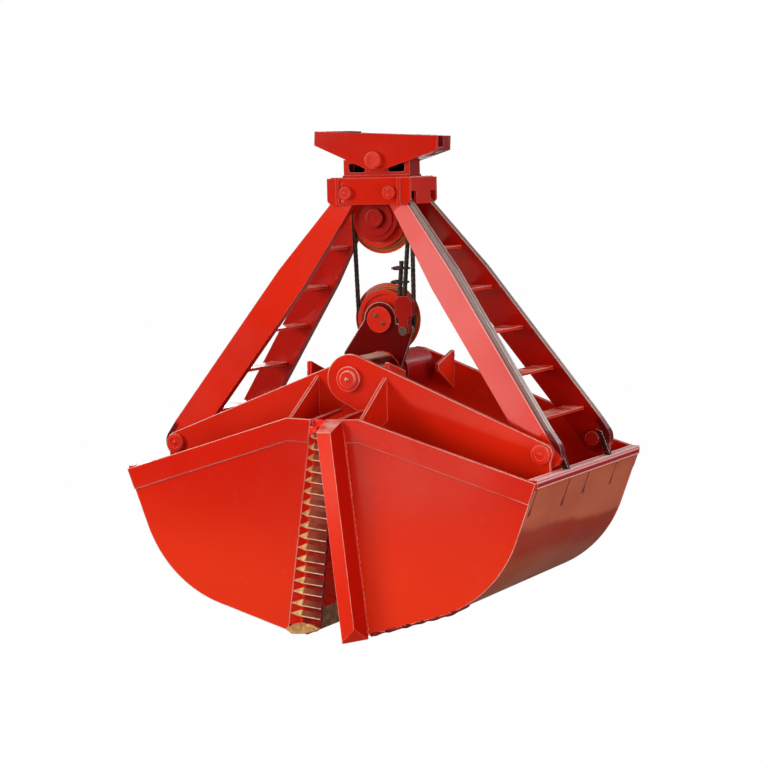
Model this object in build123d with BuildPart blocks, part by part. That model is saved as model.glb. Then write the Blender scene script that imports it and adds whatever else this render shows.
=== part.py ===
from build123d import *
import os
from math import cos, radians, sin

os.makedirs("parts", exist_ok=True)

# Four-rope clamshell grab, jaws a little open. Millimetres.
# X is the way the jaws open, Y runs along the hinges, Z is up.
# The origin is the middle of the balance beam's pivot pin, which the whole grab hangs from.
# Heights in the lists below are measured from the scoop hinge.

# Heights above the scoop hinge
pivot_height = 1064.0
head_top_height = 977.0
head_bottom_height = 845.0
arm_top_height = 903.0
upper_sheave_height = 776.0
lower_sheave_height = 267.0

# Linkage, seen from the front
arm_top_x = 119.0
arm_foot_x = 1000.0
arm_foot_height = -343.0
jaw_gap_angle = 6.2

# Running clearance between a pin and its bore
fit = 0.05

# Balance beam
beam_tilt = 3.2
beam_half_length = 337.0
beam_top = 133.0
beam_end_bottom = 62.0
beam_apex = -46.0
beam_apex_half = 45.0
beam_apex_round = 22.0
beam_plate_inner = 67.0
beam_plate_outer = 85.0
anchor_inner_x = 200.0
rope_bore_x = 275.0
rope_bore_radius = 13.0
rope_button_radius = 26.0
anchor_pocket_depth = 37.0
anchor_pocket_back = 5.0
anchor_pocket_floor = 14.0
pivot_pin_radius = 30.0
pivot_cap_radius = 43.0
pivot_cap_outer = 110.0

# Pedestal on the head
pedestal_half_length = 174.0
pedestal_lug_inner = 44.0
pedestal_lug_outer = 62.0
pedestal_shoulder = 92.0
pedestal_eye_radius = 56.0
pedestal_base_thickness = 14.0
pedestal_base_half_x = 182.0
pedestal_end_thickness = 8.0
pedestal_base_half_y = 76.0
window_width = 92.0
window_height = 44.0
window_x = 108.0
window_rise = 50.0
window_round = 14.0

# Head box
head_half_x = 228.0
head_half_y = 164.0
head_plate = 16.0
head_corner_cut = 18.0
head_rib_x = 168.0
head_rib_width = 17.0
head_rib_depth = 8.0
notch_height = 64.0
notch_inner_y = 84.0
head_pin_radius = 26.0
head_pin_cap = 32.0
head_pin_proud = 22.0
hanger_inner = 62.0
hanger_outer = 80.0
hanger_radius = 116.0

# Sheaves and closing rope
rope_radius = 12.0
rope_pitch_radius = 153.0
rope_hole_radius = 16.0
sheave_back_radius = 180.0
sheave_front_radius = 147.0
sheave_half_width = 22.0
sheave_rim_radius = 126.0
sheave_web_half = 9.0
sheave_hub_radius = 64.0
groove_clearance = 0.6
groove_radius = 17.0
groove_flare = 2.5
bush_radius = 45.0
axle_radius = 35.0
upper_sheave_y = -19.0
lower_sheave_y = 17.0
upper_hub_half = 59.0
lower_hub_half = 40.0
upper_axle_cap_outer = 108.0
upper_axle_cap_radius = 47.0
ferrule_radius = 20.0
ferrule_length = 52.0

# Lower block
cheek_inner = 42.0
cheek_outer = 58.0
cheek_top_radius = 88.0
cheek_foot_half = 205.0
cheek_foot_top = 100.0
cheek_foot_bottom = 10.0
cheek_knee = (156.0, 142.0)
cheek_heel_x = 104.0
lower_cap_outer = 74.0
lower_cap_radius = 65.0
hub_radius = 104.0
hub_neck_radius = 80.0
hub_half_length = 366.0
hinge_shaft_radius = 45.0
hinge_cap_radius = 62.0
hinge_cap_gap = 2.0
hinge_cap_thickness = 18.0
hinge_nose_radius = 40.0
hinge_nose_thickness = 12.0

# Dead end of the closing rope
socket_x = 148.0
socket_y = -82.0
socket_half_y = 22.0
socket_half_x = 47.0
socket_top = 387.0
socket_bottom = 268.0
socket_chamfer = 26.0
socket_pin_height = 214.0
socket_pin_radius = 15.0
socket_pin_head_radius = 22.0
socket_pin_head = 9.0
socket_tongue_half = 26.0
cheek_ear_radius = 32.0
tail_spacing = 27.0
tail_top = 560.0
clip_heights = (457.0, 525.0)
clip_height = 22.0
clip_half_y = 23.0
clip_margin = 8.0
clip_bore_radius = 14.5
clip_stud_radius = 6.0
clip_stud_length = 44.0
clip_stud_y = 17.0

# Scoops, seen from the front as the right-hand one, from the hinge centre
scoop_half_width = 741.0
side_plate_inner = 721.0
side_plate_outer = 733.0
scoop_tip = (1090.0, -440.0)
scoop_corner = (880.0, -1002.0)
scoop_round = 610.0
scoop_top_inner = (190.0, -163.0)
jaw_top_height = -168.0
shell_thickness = 14.0
shell_top = -474.5
shell_end_x = 197.0
band_width = 112.0
jaw_bottom = 1236.0
lip_top = 1128.0
lip_reach_x = 249.0
mating_gap = 1.0
bar_blank_top = 100.0
bar_cap_height = -170.0
bar_width = 88.0
bar_flat = 73.0
bar_outer = 853.0
bar_cap_drop = 48.0
bar_toe_rise = 68.0
bar_toe_tip = 8.0
left_edge_top = 36.0
left_edge_foot = 83.0
lap_inner = 688.0
lap_face = 702.0
lap_clearance = 5.0
lap_root = 130.0
lap_root_foot = 1190.0
lap_reach = 76.0
lap_outline = [(1206, 61), (1223, 59), (1232, 20), (1210, -52), (1190, -76), (232, -76), (214, 20)]
lap_toe_top = 1170.0
rib_count = 17
rib_pitch = 55.0
rib_first = 264.0
rib_slope = 30.0
rib_undercut = 8.0
rib_crest = 717.0
rim_inner_x = 1042.0
rim_outer_x = 1092.0
rim_bottom = -468.0
rim_top = -426.0
rim_wall = 7.0
rim_weld_gap = 12.0
left_hinge_plate_inner = 372.0
right_hinge_plate_inner = 400.0
hinge_plate_thickness = 25.0
hinge_boss_radius = 97.0
front_right_boss_radius = 121.0
pin_boss_radius = 54.0
hinge_plate_root = -680.0
gusset_x = 182.0
gusset_thickness = 16.0
gusset_top = 10.0
gusset_foot_top = -175.0
gusset_foot_bottom = -282.0
gusset_root = -205.0
tie_x = 60.0
tie_root_top = -150.0
tie_root_bottom = -166.0
tie_foot_top = -172.0
tie_foot_bottom = -203.0
left_fin_x = 236.0
right_fin_x = 184.0
fin_top = 82.0
fin_root = -115.0
fin_reach = 205.0
fin_reach_top = 25.0
fin_reach_bottom = -10.0
arm_pin_radius = 35.0
arm_pin_cap_radius = 47.0
arm_pin_cap = 20.0
arm_pin_inner = 262.0

# Arms, in the plane of each arm frame: along it from the top pin, and across it
bar_thickness = 50.0
bar_top_y = 116.0
bar_foot_y = 344.0
bar_top_radius = 45.0
bar_half_width = 80.0
bar_eye_radius = 28.0
bar_side_gap = 2.0
bar_full_width_at = 520.0
bar_foot_radius = 78.0
bar_bend_top = 80.0
bar_bend_foot = 1440.0
rung_count = 5
rung_first = 335.0
rung_pitch = 250.0
rung_depth = 112.0
rung_thickness = 14.0

hinge_z = -pivot_height
sides = {"left": -1, "right": 1}
faces = {"front": -1, "back": 1}


def up(height):
    """Height above the scoop hinge, in the part's frame."""
    return hinge_z + height


def layer(face, inner, outer):
    """Sketch plane of an upright plate between two depths. It is extruded by the plate's thickness."""
    return Plane.XZ.offset(-outer if face > 0 else inner)


def depth(y):
    """Upright sketch plane at depth y, extruded towards the front."""
    return Plane.XZ.offset(-y)


def placed(side, points):
    """Points of the right-hand side, from the hinge centre, on either side of the part."""
    return [(side * x, up(z)) for x, z in points]


def jaw(along, out):
    """Point at a distance down the jaw's meeting line from the hinge, and out from that line."""
    turn = radians(jaw_gap_angle)
    return (along * sin(turn) + out * cos(turn), -along * cos(turn) + out * sin(turn))


def meet(a, b, c, d):
    """Where the line through a and b crosses the line through c and d."""
    run = (b[0] - a[0], b[1] - a[1])
    other = (d[0] - c[0], d[1] - c[1])
    share = ((c[0] - a[0]) * other[1] - (c[1] - a[1]) * other[0]) / (run[0] * other[1] - run[1] * other[0])
    return (a[0] + share * run[0], a[1] + share * run[1])


def inset(points, gap):
    """A three-point path moved into the scoop by gap."""
    first, corner, last = (Vector(*point) for point in points)
    down = (corner - first).normalized()
    along = (last - corner).normalized()
    in_down = Vector(down.Y, -down.X)
    in_along = Vector(along.Y, -along.X)
    shift = (in_down + in_along) * (gap / (1 + in_down.dot(in_along)))
    moved = (first + in_down * gap, corner + shift, last + in_along * gap)
    return [(point.X, point.Y) for point in moved]


def finish(piece, name):
    piece.part.label = name
    export_step(piece.part, f"parts/{name}.step")


# Balance beam: two plates, a rope anchor at each end and the pivot pin
beam_outline = [
    (-beam_half_length, beam_top),
    (beam_half_length, beam_top),
    (beam_half_length, beam_end_bottom),
    (beam_apex_half, beam_apex),
    (-beam_apex_half, beam_apex),
    (-beam_half_length, beam_end_bottom),
]
tilt = radians(beam_tilt)
beam_front_view = Plane((0, 0, 0), x_dir=(cos(tilt), 0, -sin(tilt)), z_dir=(0, -1, 0))
beam_slope = ((beam_apex_half, beam_apex), (beam_half_length, beam_end_bottom))

for face_name, face in faces.items():
    with BuildPart() as beam_plate:
        with BuildSketch(beam_front_view.offset(-beam_plate_outer if face > 0 else beam_plate_inner)):
            Polygon(*beam_outline, align=None)
            Circle(pivot_pin_radius + fit, mode=Mode.SUBTRACT)
        extrude(amount=beam_plate_outer - beam_plate_inner)
        fillet(beam_plate.edges().filter_by(Axis.Y).group_by(Axis.Z)[0], beam_apex_round)
    finish(beam_plate, f"beam_{face_name}_plate")

for side_name, side in sides.items():
    inner_foot = meet(*beam_slope, (anchor_inner_x, 0), (anchor_inner_x, 1))
    anchor_outline = [
        (side * anchor_inner_x, beam_top),
        (side * beam_half_length, beam_top),
        (side * beam_half_length, beam_end_bottom),
        (side * anchor_inner_x, inner_foot[1]),
    ]
    pocket_outline = [
        (side * (beam_half_length - anchor_pocket_depth), beam_top),
        (side * beam_half_length, beam_top),
        (side * beam_half_length, beam_end_bottom + anchor_pocket_floor),
        (side * (beam_half_length - anchor_pocket_depth), beam_end_bottom + anchor_pocket_floor),
    ]
    with BuildPart() as rope_anchor:
        with BuildSketch(beam_front_view.offset(-beam_plate_inner)):
            Polygon(*anchor_outline, align=None)
        extrude(amount=2 * beam_plate_inner)
        bore_top = beam_front_view.from_local_coords((side * rope_bore_x, beam_top, 0))
        with BuildSketch(Plane(bore_top, x_dir=(0, 1, 0), z_dir=beam_front_view.y_dir)):
            Circle(rope_bore_radius)
        extrude(amount=-2 * beam_top, mode=Mode.SUBTRACT)
        button_top = beam_front_view.from_local_coords((side * rope_bore_x, beam_end_bottom, 0))
        with BuildSketch(Plane(button_top, x_dir=(0, 1, 0), z_dir=beam_front_view.y_dir)):
            Circle(rope_button_radius)
        extrude(amount=-2 * beam_top, mode=Mode.SUBTRACT)
        with BuildSketch(beam_front_view.offset(anchor_pocket_back)):
            Polygon(*pocket_outline, align=None)
        extrude(amount=beam_plate_inner - anchor_pocket_back, mode=Mode.SUBTRACT)
    finish(rope_anchor, f"beam_{side_name}_rope_anchor")

with BuildPart() as pivot_pin:
    with BuildSketch(depth(pivot_cap_outer)):
        Circle(pivot_pin_radius)
    extrude(amount=2 * pivot_cap_outer)
    for face in faces.values():
        with BuildSketch(layer(face, beam_plate_outer, pivot_cap_outer)):
            Circle(pivot_cap_radius)
        extrude(amount=pivot_cap_outer - beam_plate_outer)
finish(pivot_pin, "beam_pivot_pin")

# Pedestal: a base, two upright lugs that the beam rocks on, and a closing plate at each end
pedestal_outline = [
    (-pedestal_half_length, up(head_top_height) + pedestal_base_thickness),
    (pedestal_half_length, up(head_top_height) + pedestal_base_thickness),
    (pedestal_half_length, up(head_top_height) + pedestal_shoulder),
    (-pedestal_half_length, up(head_top_height) + pedestal_shoulder),
]
window_middle = up(head_top_height) + window_rise
with BuildPart() as pedestal:
    with BuildSketch(Plane.XY.offset(up(head_top_height))):
        Rectangle(2 * pedestal_base_half_x, 2 * pedestal_base_half_y)
        with Locations((rope_pitch_radius, lower_sheave_y)):
            Circle(rope_hole_radius, mode=Mode.SUBTRACT)
    extrude(amount=pedestal_base_thickness)
    for face in faces.values():
        with BuildSketch(layer(face, pedestal_lug_inner, pedestal_lug_outer)):
            Polygon(*pedestal_outline, align=None)
            Circle(pedestal_eye_radius)
            if face < 0:
                with Locations((-window_x, window_middle), (window_x, window_middle)):
                    RectangleRounded(window_width, window_height, window_round, mode=Mode.SUBTRACT)
            Circle(pivot_pin_radius + fit, mode=Mode.SUBTRACT)
        extrude(amount=pedestal_lug_outer - pedestal_lug_inner)
    for side in sides.values():
        end_middle = side * (pedestal_half_length + pedestal_end_thickness / 2)
        with BuildSketch(Plane.XY.offset(up(head_top_height) + pedestal_base_thickness)):
            with Locations((end_middle, 0)):
                Rectangle(pedestal_end_thickness, 2 * pedestal_lug_outer)
        extrude(amount=pedestal_shoulder - pedestal_base_thickness)
finish(pedestal, "pedestal")

# Head box: front and back plates with ribs, notched end plates, top plate
head_outline = [
    (-head_half_x, up(head_top_height)),
    (head_half_x, up(head_top_height)),
    (head_half_x, up(head_bottom_height) + head_corner_cut),
    (head_half_x - head_corner_cut, up(head_bottom_height)),
    (head_corner_cut - head_half_x, up(head_bottom_height)),
    (-head_half_x, up(head_bottom_height) + head_corner_cut),
]
head_inner_y = head_half_y - head_plate
head_height = head_top_height - head_bottom_height

for face_name, face in faces.items():
    with BuildPart() as head_plate_part:
        with BuildSketch(layer(face, head_inner_y, head_half_y)):
            Polygon(*head_outline, align=None)
            with Locations((-arm_top_x, up(arm_top_height)), (arm_top_x, up(arm_top_height))):
                Circle(head_pin_radius + fit, mode=Mode.SUBTRACT)
        extrude(amount=head_plate)
        with BuildSketch(layer(face, head_half_y, head_half_y + head_rib_depth)):
            middle = up((head_top_height + head_bottom_height) / 2)
            with Locations((-head_rib_x, middle), (head_rib_x, middle)):
                Rectangle(head_rib_width, head_height)
        extrude(amount=head_rib_depth)
    finish(head_plate_part, f"head_{face_name}_plate")

for side_name, side in sides.items():
    with BuildPart() as end_plate:
        plane_x = head_half_x - head_plate if side > 0 else -head_half_x
        with BuildSketch(Plane.YZ.offset(plane_x)):
            with Locations((0, up(head_bottom_height))):
                Rectangle(2 * head_inner_y, head_height, align=(Align.CENTER, Align.MIN))
            notch_width = head_inner_y - notch_inner_y
            for face in faces.values():
                notch_middle = face * (notch_inner_y + notch_width / 2)
                with Locations((notch_middle, up(head_bottom_height))):
                    Rectangle(notch_width, 2 * notch_height, mode=Mode.SUBTRACT)
        extrude(amount=head_plate)
    finish(end_plate, f"head_{side_name}_end_plate")

with BuildPart() as top_plate:
    with BuildSketch(Plane.XY.offset(up(head_top_height) - head_plate)):
        Rectangle(2 * (head_half_x - head_plate), 2 * head_inner_y)
        with Locations((rope_pitch_radius, lower_sheave_y)):
            Circle(rope_hole_radius, mode=Mode.SUBTRACT)
    extrude(amount=head_plate)
finish(top_plate, "head_top_plate")

with BuildPart() as head_pins:
    for face in faces.values():
        for side in sides.values():
            with BuildSketch(layer(face, head_inner_y, head_half_y)):
                with Locations((side * arm_top_x, up(arm_top_height))):
                    Circle(head_pin_radius)
            extrude(amount=head_plate)
            with BuildSketch(layer(face, head_half_y, head_half_y + head_pin_proud)):
                with Locations((side * arm_top_x, up(arm_top_height))):
                    Circle(head_pin_cap)
            extrude(amount=head_pin_proud)
finish(head_pins, "head_arm_pins")

# Upper sheave's hangers and axle
hanger_top = head_top_height - head_plate
for face_name, face in faces.items():
    with BuildPart() as hanger:
        with BuildSketch(layer(face, hanger_inner, hanger_outer)):
            with Locations((0, up(upper_sheave_height))):
                Circle(hanger_radius)
                Rectangle(
                    2 * hanger_radius,
                    hanger_top - upper_sheave_height,
                    align=(Align.CENTER, Align.MIN),
                )
                Circle(axle_radius + fit, mode=Mode.SUBTRACT)
        extrude(amount=hanger_outer - hanger_inner)
    finish(hanger, f"upper_hanger_{face_name}")


def axle(height, cap_inner, cap_outer, cap_radius):
    """A sheave's axle with a round cap on each end."""
    with BuildPart() as piece:
        with BuildSketch(depth(cap_outer)):
            with Locations((0, up(height))):
                Circle(axle_radius)
        extrude(amount=2 * cap_outer)
        for face in faces.values():
            with BuildSketch(layer(face, cap_inner, cap_outer)):
                with Locations((0, up(height))):
                    Circle(cap_radius)
            extrude(amount=cap_outer - cap_inner)
    return piece


finish(
    axle(upper_sheave_height, hanger_outer, upper_axle_cap_outer, upper_axle_cap_radius),
    "upper_sheave_axle",
)


def sheave(height, rim_y, hub_half):
    """A rope sheave: hub, web and a grooved rim whose back flange is the higher one."""
    front, back = rim_y - sheave_half_width, rim_y + sheave_half_width
    floor_radius = rope_pitch_radius - rope_radius - groove_clearance
    groove_centre = floor_radius + groove_radius
    wall = (groove_radius**2 - (groove_centre - sheave_front_radius) ** 2) ** 0.5
    section = Plane((0, 0, up(height)), x_dir=(1, 0, 0), z_dir=(0, 0, 1))
    with BuildPart() as piece:
        with BuildSketch(section):
            with BuildLine():
                Polyline(
                    (sheave_front_radius, rim_y - wall),
                    (sheave_front_radius, front),
                    (sheave_rim_radius, front),
                    (sheave_rim_radius, rim_y - sheave_web_half),
                    (sheave_hub_radius, rim_y - sheave_web_half),
                    (sheave_hub_radius, -hub_half),
                    (bush_radius + fit, -hub_half),
                    (bush_radius + fit, hub_half),
                    (sheave_hub_radius, hub_half),
                    (sheave_hub_radius, rim_y + sheave_web_half),
                    (sheave_rim_radius, rim_y + sheave_web_half),
                    (sheave_rim_radius, back),
                    (sheave_back_radius, back),
                    (sheave_back_radius, rim_y + groove_radius + groove_flare),
                    (groove_centre, rim_y + groove_radius),
                )
                ThreePointArc(
                    (groove_centre, rim_y + groove_radius),
                    (floor_radius, rim_y),
                    (sheave_front_radius, rim_y - wall),
                )
            make_face()
        revolve(axis=Axis((0, 0, up(height)), (0, 1, 0)))
    return piece


def bush(height, half):
    """The bronze bush pressed into a sheave."""
    with BuildPart() as piece:
        with BuildSketch(depth(half)):
            with Locations((0, up(height))):
                Circle(bush_radius)
                Circle(axle_radius + fit, mode=Mode.SUBTRACT)
        extrude(amount=2 * half)
    return piece


finish(sheave(upper_sheave_height, upper_sheave_y, upper_hub_half), "upper_sheave")
finish(bush(upper_sheave_height, upper_hub_half), "upper_sheave_bush")
finish(sheave(lower_sheave_height, lower_sheave_y, lower_hub_half), "lower_sheave")
finish(bush(lower_sheave_height, lower_hub_half), "lower_sheave_bush")

# Lower block: hub tube, sheave cheeks, axle and the long hinge shaft
with BuildPart() as hub_tube:
    with BuildSketch(depth(hub_half_length)):
        with Locations((0, up(0))):
            Circle(hub_radius)
            Circle(hinge_shaft_radius + fit, mode=Mode.SUBTRACT)
    extrude(amount=2 * hub_half_length)
    with BuildSketch(depth(cheek_inner)):
        with Locations((0, up(0))):
            Circle(2 * hub_radius)
            Circle(hub_neck_radius, mode=Mode.SUBTRACT)
    extrude(amount=2 * cheek_inner, mode=Mode.SUBTRACT)
finish(hub_tube, "lower_block_hub")

cheek_points = [
    (-cheek_foot_half, up(cheek_foot_bottom)),
    (cheek_top_radius, up(cheek_foot_bottom)),
    (cheek_top_radius, up(lower_sheave_height)),
    (-cheek_top_radius, up(lower_sheave_height)),
    (-cheek_foot_half, up(cheek_foot_top)),
]
for face_name, face in faces.items():
    with BuildPart() as cheek:
        with BuildSketch(layer(face, cheek_inner, cheek_outer)):
            Polygon(*cheek_points, align=None)
            with Locations((0, up(lower_sheave_height))):
                Circle(cheek_top_radius)
            if face < 0:
                with Locations((socket_x, up(socket_pin_height))):
                    Circle(cheek_ear_radius)
                Polygon(
                    (0, up(socket_pin_height + cheek_ear_radius)),
                    (socket_x, up(socket_pin_height + cheek_ear_radius)),
                    (socket_x + cheek_ear_radius, up(socket_pin_height)),
                    (cheek_knee[0], up(cheek_knee[1])),
                    (cheek_heel_x, up(cheek_foot_bottom)),
                    (0, up(cheek_foot_bottom)),
                    align=None,
                )
                with Locations((socket_x, up(socket_pin_height))):
                    Circle(socket_pin_radius + fit, mode=Mode.SUBTRACT)
            with Locations((0, up(lower_sheave_height))):
                Circle(axle_radius + fit, mode=Mode.SUBTRACT)
            with Locations((0, up(0))):
                Circle(hub_radius + fit, mode=Mode.SUBTRACT)
        extrude(amount=cheek_outer - cheek_inner)
    finish(cheek, f"lower_block_{face_name}_cheek")

finish(axle(lower_sheave_height, cheek_outer, lower_cap_outer, lower_cap_radius), "lower_sheave_axle")

right_plate_outer = right_hinge_plate_inner + hinge_plate_thickness
cap_outer = right_plate_outer + hinge_cap_gap + hinge_cap_thickness
nose_outer = cap_outer + hinge_nose_thickness
with BuildPart() as hinge_shaft:
    with BuildSketch(depth(cap_outer)):
        with Locations((0, up(0))):
            Circle(hinge_shaft_radius)
    extrude(amount=2 * cap_outer)
    for face in faces.values():
        with BuildSketch(layer(face, cap_outer - hinge_cap_thickness, cap_outer)):
            with Locations((0, up(0))):
                Circle(hinge_cap_radius)
        extrude(amount=hinge_cap_thickness)
        with BuildSketch(layer(face, cap_outer, nose_outer)):
            with Locations((0, up(0))):
                Circle(hinge_nose_radius)
        extrude(amount=hinge_nose_thickness)
finish(hinge_shaft, "scoop_hinge_shaft")

# Dead end of the closing rope: wedge socket with its pin, and two clips
socket_front = socket_y - socket_half_y
with BuildPart() as rope_socket:
    with BuildSketch(depth(socket_y + socket_half_y)):
        with Locations((socket_x, up((socket_top + socket_bottom) / 2))):
            Rectangle(2 * socket_half_x, socket_top - socket_bottom)
    extrude(amount=2 * socket_half_y)
    chamfer(rope_socket.edges().filter_by(Axis.Y), socket_chamfer)
    with BuildSketch(depth(socket_y + socket_half_y)):
        with Locations((socket_x, up((socket_bottom + socket_pin_height) / 2))):
            Rectangle(2 * socket_tongue_half, socket_bottom - socket_pin_height)
        with Locations((socket_x, up(socket_pin_height))):
            Circle(socket_tongue_half)
            Circle(socket_pin_radius + fit, mode=Mode.SUBTRACT)
    extrude(amount=2 * socket_half_y)
finish(rope_socket, "rope_socket")

with BuildPart() as socket_pin:
    with BuildSketch(depth(-cheek_inner)):
        with Locations((socket_x, up(socket_pin_height))):
            Circle(socket_pin_radius)
    extrude(amount=-socket_front - cheek_inner)
    with BuildSketch(depth(socket_front)):
        with Locations((socket_x, up(socket_pin_height))):
            Circle(socket_pin_head_radius)
    extrude(amount=socket_pin_head)
finish(socket_pin, "rope_socket_pin")


def dead_end(height):
    """Place of the dead end at a height, on its way from the socket to the upper sheave."""
    share = (height - socket_top) / (upper_sheave_height - socket_top)
    x = socket_x + share * (rope_pitch_radius - socket_x)
    y = socket_y + share * (upper_sheave_y - socket_y)
    return (x, y)


def tail(height):
    """Place of the rope's tail at a height, beside the dead end."""
    x, y = dead_end(height)
    return (x - tail_spacing, y)


clip_half_x = tail_spacing / 2 + clip_bore_radius + clip_margin
with BuildPart() as rope_clips:
    for height in clip_heights:
        rope_x, rope_y = dead_end(height)
        clip_x = rope_x - tail_spacing / 2
        with BuildSketch(Plane.XY.offset(up(height) - clip_height / 2)):
            with Locations((clip_x, rope_y)):
                Rectangle(2 * clip_half_x, 2 * clip_half_y)
            with Locations((rope_x, rope_y), tail(height)):
                Circle(clip_bore_radius, mode=Mode.SUBTRACT)
        extrude(amount=clip_height)
        with BuildSketch(Plane.YZ.offset(clip_x - clip_half_x)):
            with Locations((rope_y - clip_stud_y, up(height)), (rope_y + clip_stud_y, up(height))):
                Circle(clip_stud_radius)
        extrude(amount=-clip_stud_length)
finish(rope_clips, "rope_clips")


def fall(top_end, top, foot_end, foot):
    """A straight run of rope with level ends."""
    with BuildPart() as run:
        with BuildSketch(Plane.XY.offset(up(top))):
            with Locations(top_end):
                Circle(rope_radius)
        with BuildSketch(Plane.XY.offset(up(foot))):
            with Locations(foot_end):
                Circle(rope_radius)
        loft()
    return run.part


def half_wrap(height, y, turn):
    """Half a turn of rope in a sheave's groove, from the right-hand side."""
    with BuildPart() as wrap:
        with BuildSketch(Plane.XY.offset(up(height))):
            with Locations((rope_pitch_radius, y)):
                Circle(rope_radius)
        revolve(axis=Axis((0, y, up(height)), (0, 1, 0)), revolution_arc=turn)
    return wrap.part


upper_wrap = half_wrap(upper_sheave_height, upper_sheave_y, -180)
lead_foot = (rope_pitch_radius, lower_sheave_y)
lead_top = up(head_top_height) + pedestal_base_thickness
with BuildPart() as upper_rope:
    add(upper_wrap)
    with BuildSketch(Plane.XY.offset(up(upper_sheave_height))):
        with Locations(lead_foot):
            Circle(rope_radius)
    extrude(amount=lead_top - up(upper_sheave_height))
    with BuildSketch(Plane.XY.offset(lead_top)):
        with Locations(lead_foot):
            Circle(ferrule_radius)
    extrude(amount=ferrule_length)
finish(upper_rope, "rope_over_upper_sheave")

left_top = (-rope_pitch_radius, upper_sheave_y)
left_foot = (-rope_pitch_radius, lower_sheave_y)
left_fall = fall(left_top, upper_sheave_height, left_foot, lower_sheave_height)
lead_fall = fall(lead_foot, upper_sheave_height, lead_foot, lower_sheave_height)
with BuildPart() as rope_falls:
    add(left_fall)
    add(lead_fall)
finish(rope_falls, "rope_falls")

dead_top = (rope_pitch_radius, upper_sheave_y)
dead_run = fall(dead_top, upper_sheave_height, (socket_x, socket_y), socket_top)
with BuildPart() as dead_fall:
    add(dead_run)
finish(dead_fall, "rope_dead_fall")

lower_wrap = half_wrap(lower_sheave_height, lower_sheave_y, 180)
rope_tail = fall(tail(tail_top), tail_top, tail(socket_top), socket_top)
with BuildPart() as lower_rope:
    add(lower_wrap)
    add(rope_tail)
finish(lower_rope, "rope_under_lower_sheave")

# Scoops
jaw_toe = jaw(jaw_bottom, mating_gap)
floor_line = (scoop_corner, jaw_toe)
band_inner = (scoop_top_inner[0], scoop_top_inner[1] - band_width)
band_tip = meet((scoop_tip[0], scoop_tip[1] - band_width), band_inner, scoop_tip, scoop_corner)
shell_start = meet(scoop_tip, scoop_corner, (0, shell_top), (1, shell_top))
shell_end = meet(*floor_line, (shell_end_x, 0), (shell_end_x, 1))
shell_path = [shell_start, scoop_corner, shell_end]
shell_inner_path = inset(shell_path, shell_thickness)

# The mating edge of each jaw's side plates, from the hinge down. The left one leaves the lap strips bare
mating_edges = {
    "left": (jaw(0, left_edge_top), jaw(jaw_bottom, left_edge_foot)),
    "right": (jaw(0, mating_gap), jaw(jaw_bottom, mating_gap)),
}


def side_plate(side_name, face):
    """One side of a scoop, thicker along its top edge and, on the right, under the jaw's edge bar."""
    side = sides[side_name]
    edge = mating_edges[side_name]
    strip_edge = (jaw(0, bar_width), jaw(jaw_bottom, bar_width))
    band_foot = jaw_top_height - band_width
    top = meet(*edge, (0, jaw_top_height), (1, jaw_top_height))
    toe = meet(*edge, *floor_line)
    band_jaw = meet(*edge, (0, band_foot), (1, band_foot))
    strip_top = meet(*strip_edge, band_jaw, band_inner)
    strip_foot = meet(*strip_edge, *floor_line)
    with BuildPart() as piece:
        with BuildSketch(layer(face, side_plate_inner, side_plate_outer)):
            with BuildLine():
                curve = FilletPolyline(*placed(side, [scoop_tip, scoop_corner, toe]), radius=scoop_round)
                Polyline(curve @ 1, *placed(side, [top, scoop_top_inner]), curve @ 0)
            make_face()
        extrude(amount=side_plate_outer - side_plate_inner)
        with BuildSketch(layer(face, side_plate_outer, scoop_half_width)):
            band = [scoop_tip, scoop_top_inner, top, band_jaw, band_inner, band_tip]
            Polygon(*placed(side, band), align=None)
            if side > 0:
                Polygon(*placed(side, [band_jaw, toe, strip_foot, strip_top]), align=None)
        extrude(amount=scoop_half_width - side_plate_outer)
    return piece


def shell(side):
    """The curved back and floor of a scoop."""
    with BuildPart() as piece:
        with BuildSketch(depth(side_plate_inner)):
            with BuildLine():
                outer = FilletPolyline(*placed(side, shell_path), radius=scoop_round)
                inner = FilletPolyline(
                    *placed(side, shell_inner_path), radius=scoop_round - shell_thickness
                )
                Line(outer @ 0, inner @ 0)
                Line(outer @ 1, inner @ 1)
            make_face()
        extrude(amount=2 * side_plate_inner)
    return piece


def lip(side):
    """The cutting lip along the floor's front edge, between the lap strips or the room for them."""
    half = lap_inner if side < 0 else lap_inner - lap_clearance
    reach = meet(shell_inner_path[1], shell_inner_path[2], (lip_reach_x, 0), (lip_reach_x, 1))
    outline = [
        jaw_toe,
        jaw(lip_top, mating_gap),
        reach,
        shell_inner_path[2],
        shell_end,
    ]
    with BuildPart() as piece:
        with BuildSketch(depth(half)):
            Polygon(*placed(side, outline), align=None)
        extrude(amount=2 * half)
    return piece


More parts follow.
